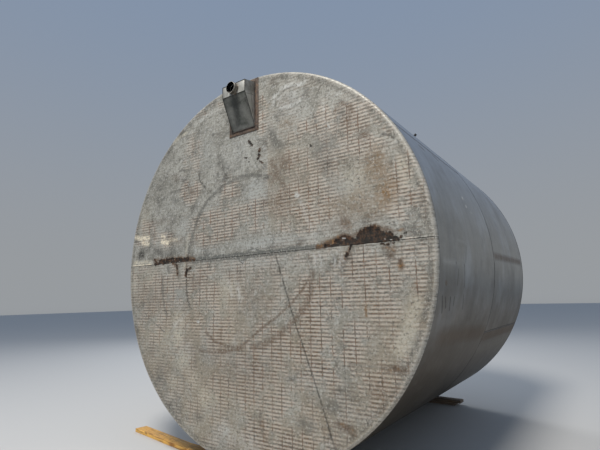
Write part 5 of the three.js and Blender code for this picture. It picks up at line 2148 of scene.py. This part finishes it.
    def _bolts(self, circle: float, low: float, high: float) -> None:
        """Puts hexagon bolts with nuts round the manway's flange.

        Args:
            circle: Radius of the bolt circle.
            low: The flange's back face.
            high: The cover's outer face.
        """
        size, parts = self.bolt_size, []
        for spot in self._circle((0.0, 0.0), circle, self.bolts):
            for start, end in ((low - 0.8 * size, low), (high, high + 0.62 * size)):
                parts.append(rod("hexagon", spot, size, start, end, 6, self.bolt_core))
        dress(joined("manway_bolts", parts), self.finishes.bolt, Slot.FITTING)

    def _vent(self, centre: Pair) -> None:
        """The flanged vent nozzle with its bolt holes.

        Args:
            centre: Its middle in x and z.
        """
        (x0, start, _), (x1, end, _) = PLACE.box("vent_nozzle")
        rim, outer, nick = (x1 - x0) / 2, self.vent, self.vent_nick
        bore, flange = outer - self.vent_wall, end - self.vent_flange
        profile = [
            (bore, start), (outer, start), (outer, flange - 0.008), (outer + 0.006, flange),
            (rim - nick, flange), (rim, flange + nick), (rim, end - nick), (rim - nick, end),
            (outer + 0.02, end), (outer + 0.019, end - 0.0004), (bore, end - 0.0004),
        ]
        nozzle = turned_ring("vent_nozzle_made", profile, 72, centre=centre)
        spots = self._circle(centre, self.vent_circle, self.vent_bolts)
        holes = [rod("hole", spot, self.vent_bolt_hole, end - 0.03, end + 0.01, 20, self.core) for spot in spots]
        cutter = joined("vent_holes", holes)
        cut_with(nozzle, cutter)
        bpy.data.objects.remove(cutter)
        dress(nozzle, self.finishes.fitting, Slot.FITTING, "vent_nozzle")
        turn = around(60)
        seat = self.height(np.hypot(centre[0] + outer * np.cos(turn), centre[1] + outer * np.sin(turn)))
        dress(self.vent_bead.ring("vent_weld", turn, outer, seat, 1.0, 91, centre), self.finishes.weld, Slot.WELD)

    def _lugs(self) -> None:
        """The lifting lugs, with fillet welds along their feet."""
        for i, side in ((1, 1), (2, -1)):
            node = f"lifting_lug_{i}"
            dress(softened_copy(node, self.lug_rounding), self.finishes.fitting, Slot.FITTING, node)
            (x0, _, z0), (x1, _, z1) = PLACE.box(node)
            near, far = sorted((abs(x0), abs(x1)))
            beads = []
            for k, (z, lean) in enumerate(((z0 - self.lug_gap, -1), (z1 + self.lug_gap, 1))):
                path = [(side * r, self.height(r) + self.lug_gap, z) for r in (near, far)]
                beads.append(fillet(f"foot_{k}", path, (0, 1, lean), self.lug_fillet, 95 + 2 * i + k))
            dress(joined(f"{node}_welds", beads), self.finishes.weld, Slot.WELD)


@dataclass
class Timbers:
    """The boards and wedges that the tank lies on."""

    finishes: Finishes
    board_rounding: float = 0.003
    wedge_rounding: float = 0.0015
    boards: tuple[tuple[str, float], ...] = (
        ("front_lower_board", -0.148),
        ("front_upper_board", -0.045),
        ("rear_lower_board", -0.07),
        ("rear_upper_board", -0.07),
    )
    wedges: tuple[str, ...] = ("front_wedge_left", "front_wedge_right", "rear_wedge_left", "rear_wedge_right")

    def build(self) -> None:
        """Builds the boards and wedges."""
        for node, slope in self.boards:
            self._timber(node, softened_copy(node, self.board_rounding, 3), math.atan(slope))
        for node in self.wedges:
            self._timber(node, softened_copy(node, self.wedge_rounding), 0.0)

    def _timber(self, node: str, piece: bpy.types.Object, yaw: float) -> None:
        """Moves a piece's origin to its middle, turns its own X axis along the board and dresses it.

        Args:
            node: The piece's node.
            piece: The piece.
            yaw: The board's turn from X.
        """
        corners = np.array(piece.bound_box)
        middle = Vector((corners.min(0) + corners.max(0)) / 2)
        place = Matrix.Translation(middle) @ Matrix.Rotation(yaw, 4, "Z")
        piece.data.transform(place.inverted())
        piece.matrix_world = place
        fresh = node.startswith("front")
        slot = Slot.FRESH_TIMBER if fresh else Slot.GREY_TIMBER
        dress(piece, self.finishes.fresh if fresh else self.finishes.grey, slot, node)


@dataclass(frozen=True)
class Lamp:
    """A round area light: the way to it from the tank, its power and its colour."""

    name: str
    way: Place3
    power: float
    colour: Colour
    distance: float = 14.0
    size: float = 4.5

    def build(self) -> None:
        """Builds the light, looking at the tank."""
        data = bpy.data.lights.new(self.name, "AREA")
        data.shape = "DISK"
        data.size = self.size
        data.energy = self.power
        data.color = self.colour
        lamp = bpy.data.objects.new(self.name, data)
        bpy.context.scene.collection.objects.link(lamp)
        target = Vector(PLACE.moved(np.array([0.0, 1.0, 0.0])))
        lamp.location = target + Vector(self.way).normalized() * self.distance
        lamp.rotation_mode = "QUATERNION"
        lamp.rotation_quaternion = Vector(self.way).to_track_quat("Z", "Y")


@dataclass
class Studio:
    """Floor, light and camera."""

    floor_colour: Colour = (0.56, 0.55, 0.53)
    floor_reach: float = 80.0
    eye: Place3 = (2.7678, -3.0189, -0.3791)
    azimuth: float = 35.07
    elevation: float = 9.86
    roll: float = -1.23
    focal_pixels: float = 430.0
    frame_width: float = 600.0
    sensor: float = 36.0
    key: Lamp = Lamp("key", (0.09, -0.53, 0.84), 2000.0, (1.0, 0.965, 0.91))
    fill: Lamp = Lamp("fill", (-0.55, 0.70, 0.45), 500.0, (0.92, 0.96, 1.0))
    sky: Colour = (0.52, 0.68, 0.95)
    haze: Colour = (0.74, 0.78, 0.82)
    ground: Colour = (0.30, 0.27, 0.23)
    sky_strength: float = 0.42

    def build(self) -> None:
        """Builds the floor, the lights and the camera."""
        bpy.context.scene.view_settings.view_transform = "Standard"
        self._floor()
        self._sky()
        self.key.build()
        self.fill.build()
        self._camera()

    def _floor(self) -> None:
        """A plain pale floor."""
        made, g, shader = start_material("Floor")
        g.feed(shader, Base_Color=self.floor_colour, Roughness=0.9)
        corners = [(a * self.floor_reach, b * self.floor_reach, 0) for a, b in ((-1, -1), (1, -1), (1, 1), (-1, 1))]
        piece = mesh_object("floor", np.array(corners), [(0, 1, 2, 3)])
        piece.data.materials.append(made)

    def _sky(self) -> None:
        """A world that is bluish above, pale at the horizon and brownish below."""
        world = bpy.data.worlds.new("Studio")
        bpy.context.scene.world = world
        world.use_nodes = True
        g = Graph(world.node_tree)
        _, _, z = g.split(g.node("ShaderNodeTexCoord").outputs["Generated"])
        above = g.mix(g.span(z, 0.02, 0.75), self.haze, self.sky)
        colour = g.mix(g.span(z, 0.0, -0.12), above, self.ground)
        g.feed(world.node_tree.nodes["Background"], Color=colour, Strength=self.sky_strength)

    def _camera(self) -> None:
        """The camera at the photograph's place and angle."""
        turn, lift, roll = (math.radians(v) for v in (self.azimuth, self.elevation, self.roll))
        forward = Vector((-math.sin(turn) * math.cos(lift), math.cos(turn) * math.cos(lift), math.sin(lift)))
        level = Vector((math.cos(turn), math.sin(turn), 0.0))
        above = level.cross(forward)
        right = math.cos(roll) * level + math.sin(roll) * above
        up = math.cos(roll) * above - math.sin(roll) * level
        data = bpy.data.cameras.new("camera")
        data.sensor_width = self.sensor
        data.lens = self.focal_pixels / self.frame_width * self.sensor
        data.clip_start, data.clip_end = 0.05, 500.0
        camera = bpy.data.objects.new("camera", data)
        bpy.context.scene.collection.objects.link(camera)
        rotation = Matrix((right, up, -forward)).transposed().to_4x4()
        camera.matrix_world = Matrix.Translation(Vector(PLACE.moved(np.array(self.eye)))) @ rotation
        bpy.context.scene.camera = camera


def main() -> None:
    """Builds the tank's parts in order."""
    logging.basicConfig(level=logging.INFO, format="%(name)s: %(message)s")
    finishes = Finishes()
    for part in (Bottom(finishes), Shell(finishes), Sump(finishes), Roof(finishes), Timbers(finishes), Studio()):
        part.build()
        LOG.info("%s done", type(part).__name__)


if __name__ == "__main__":
    main()
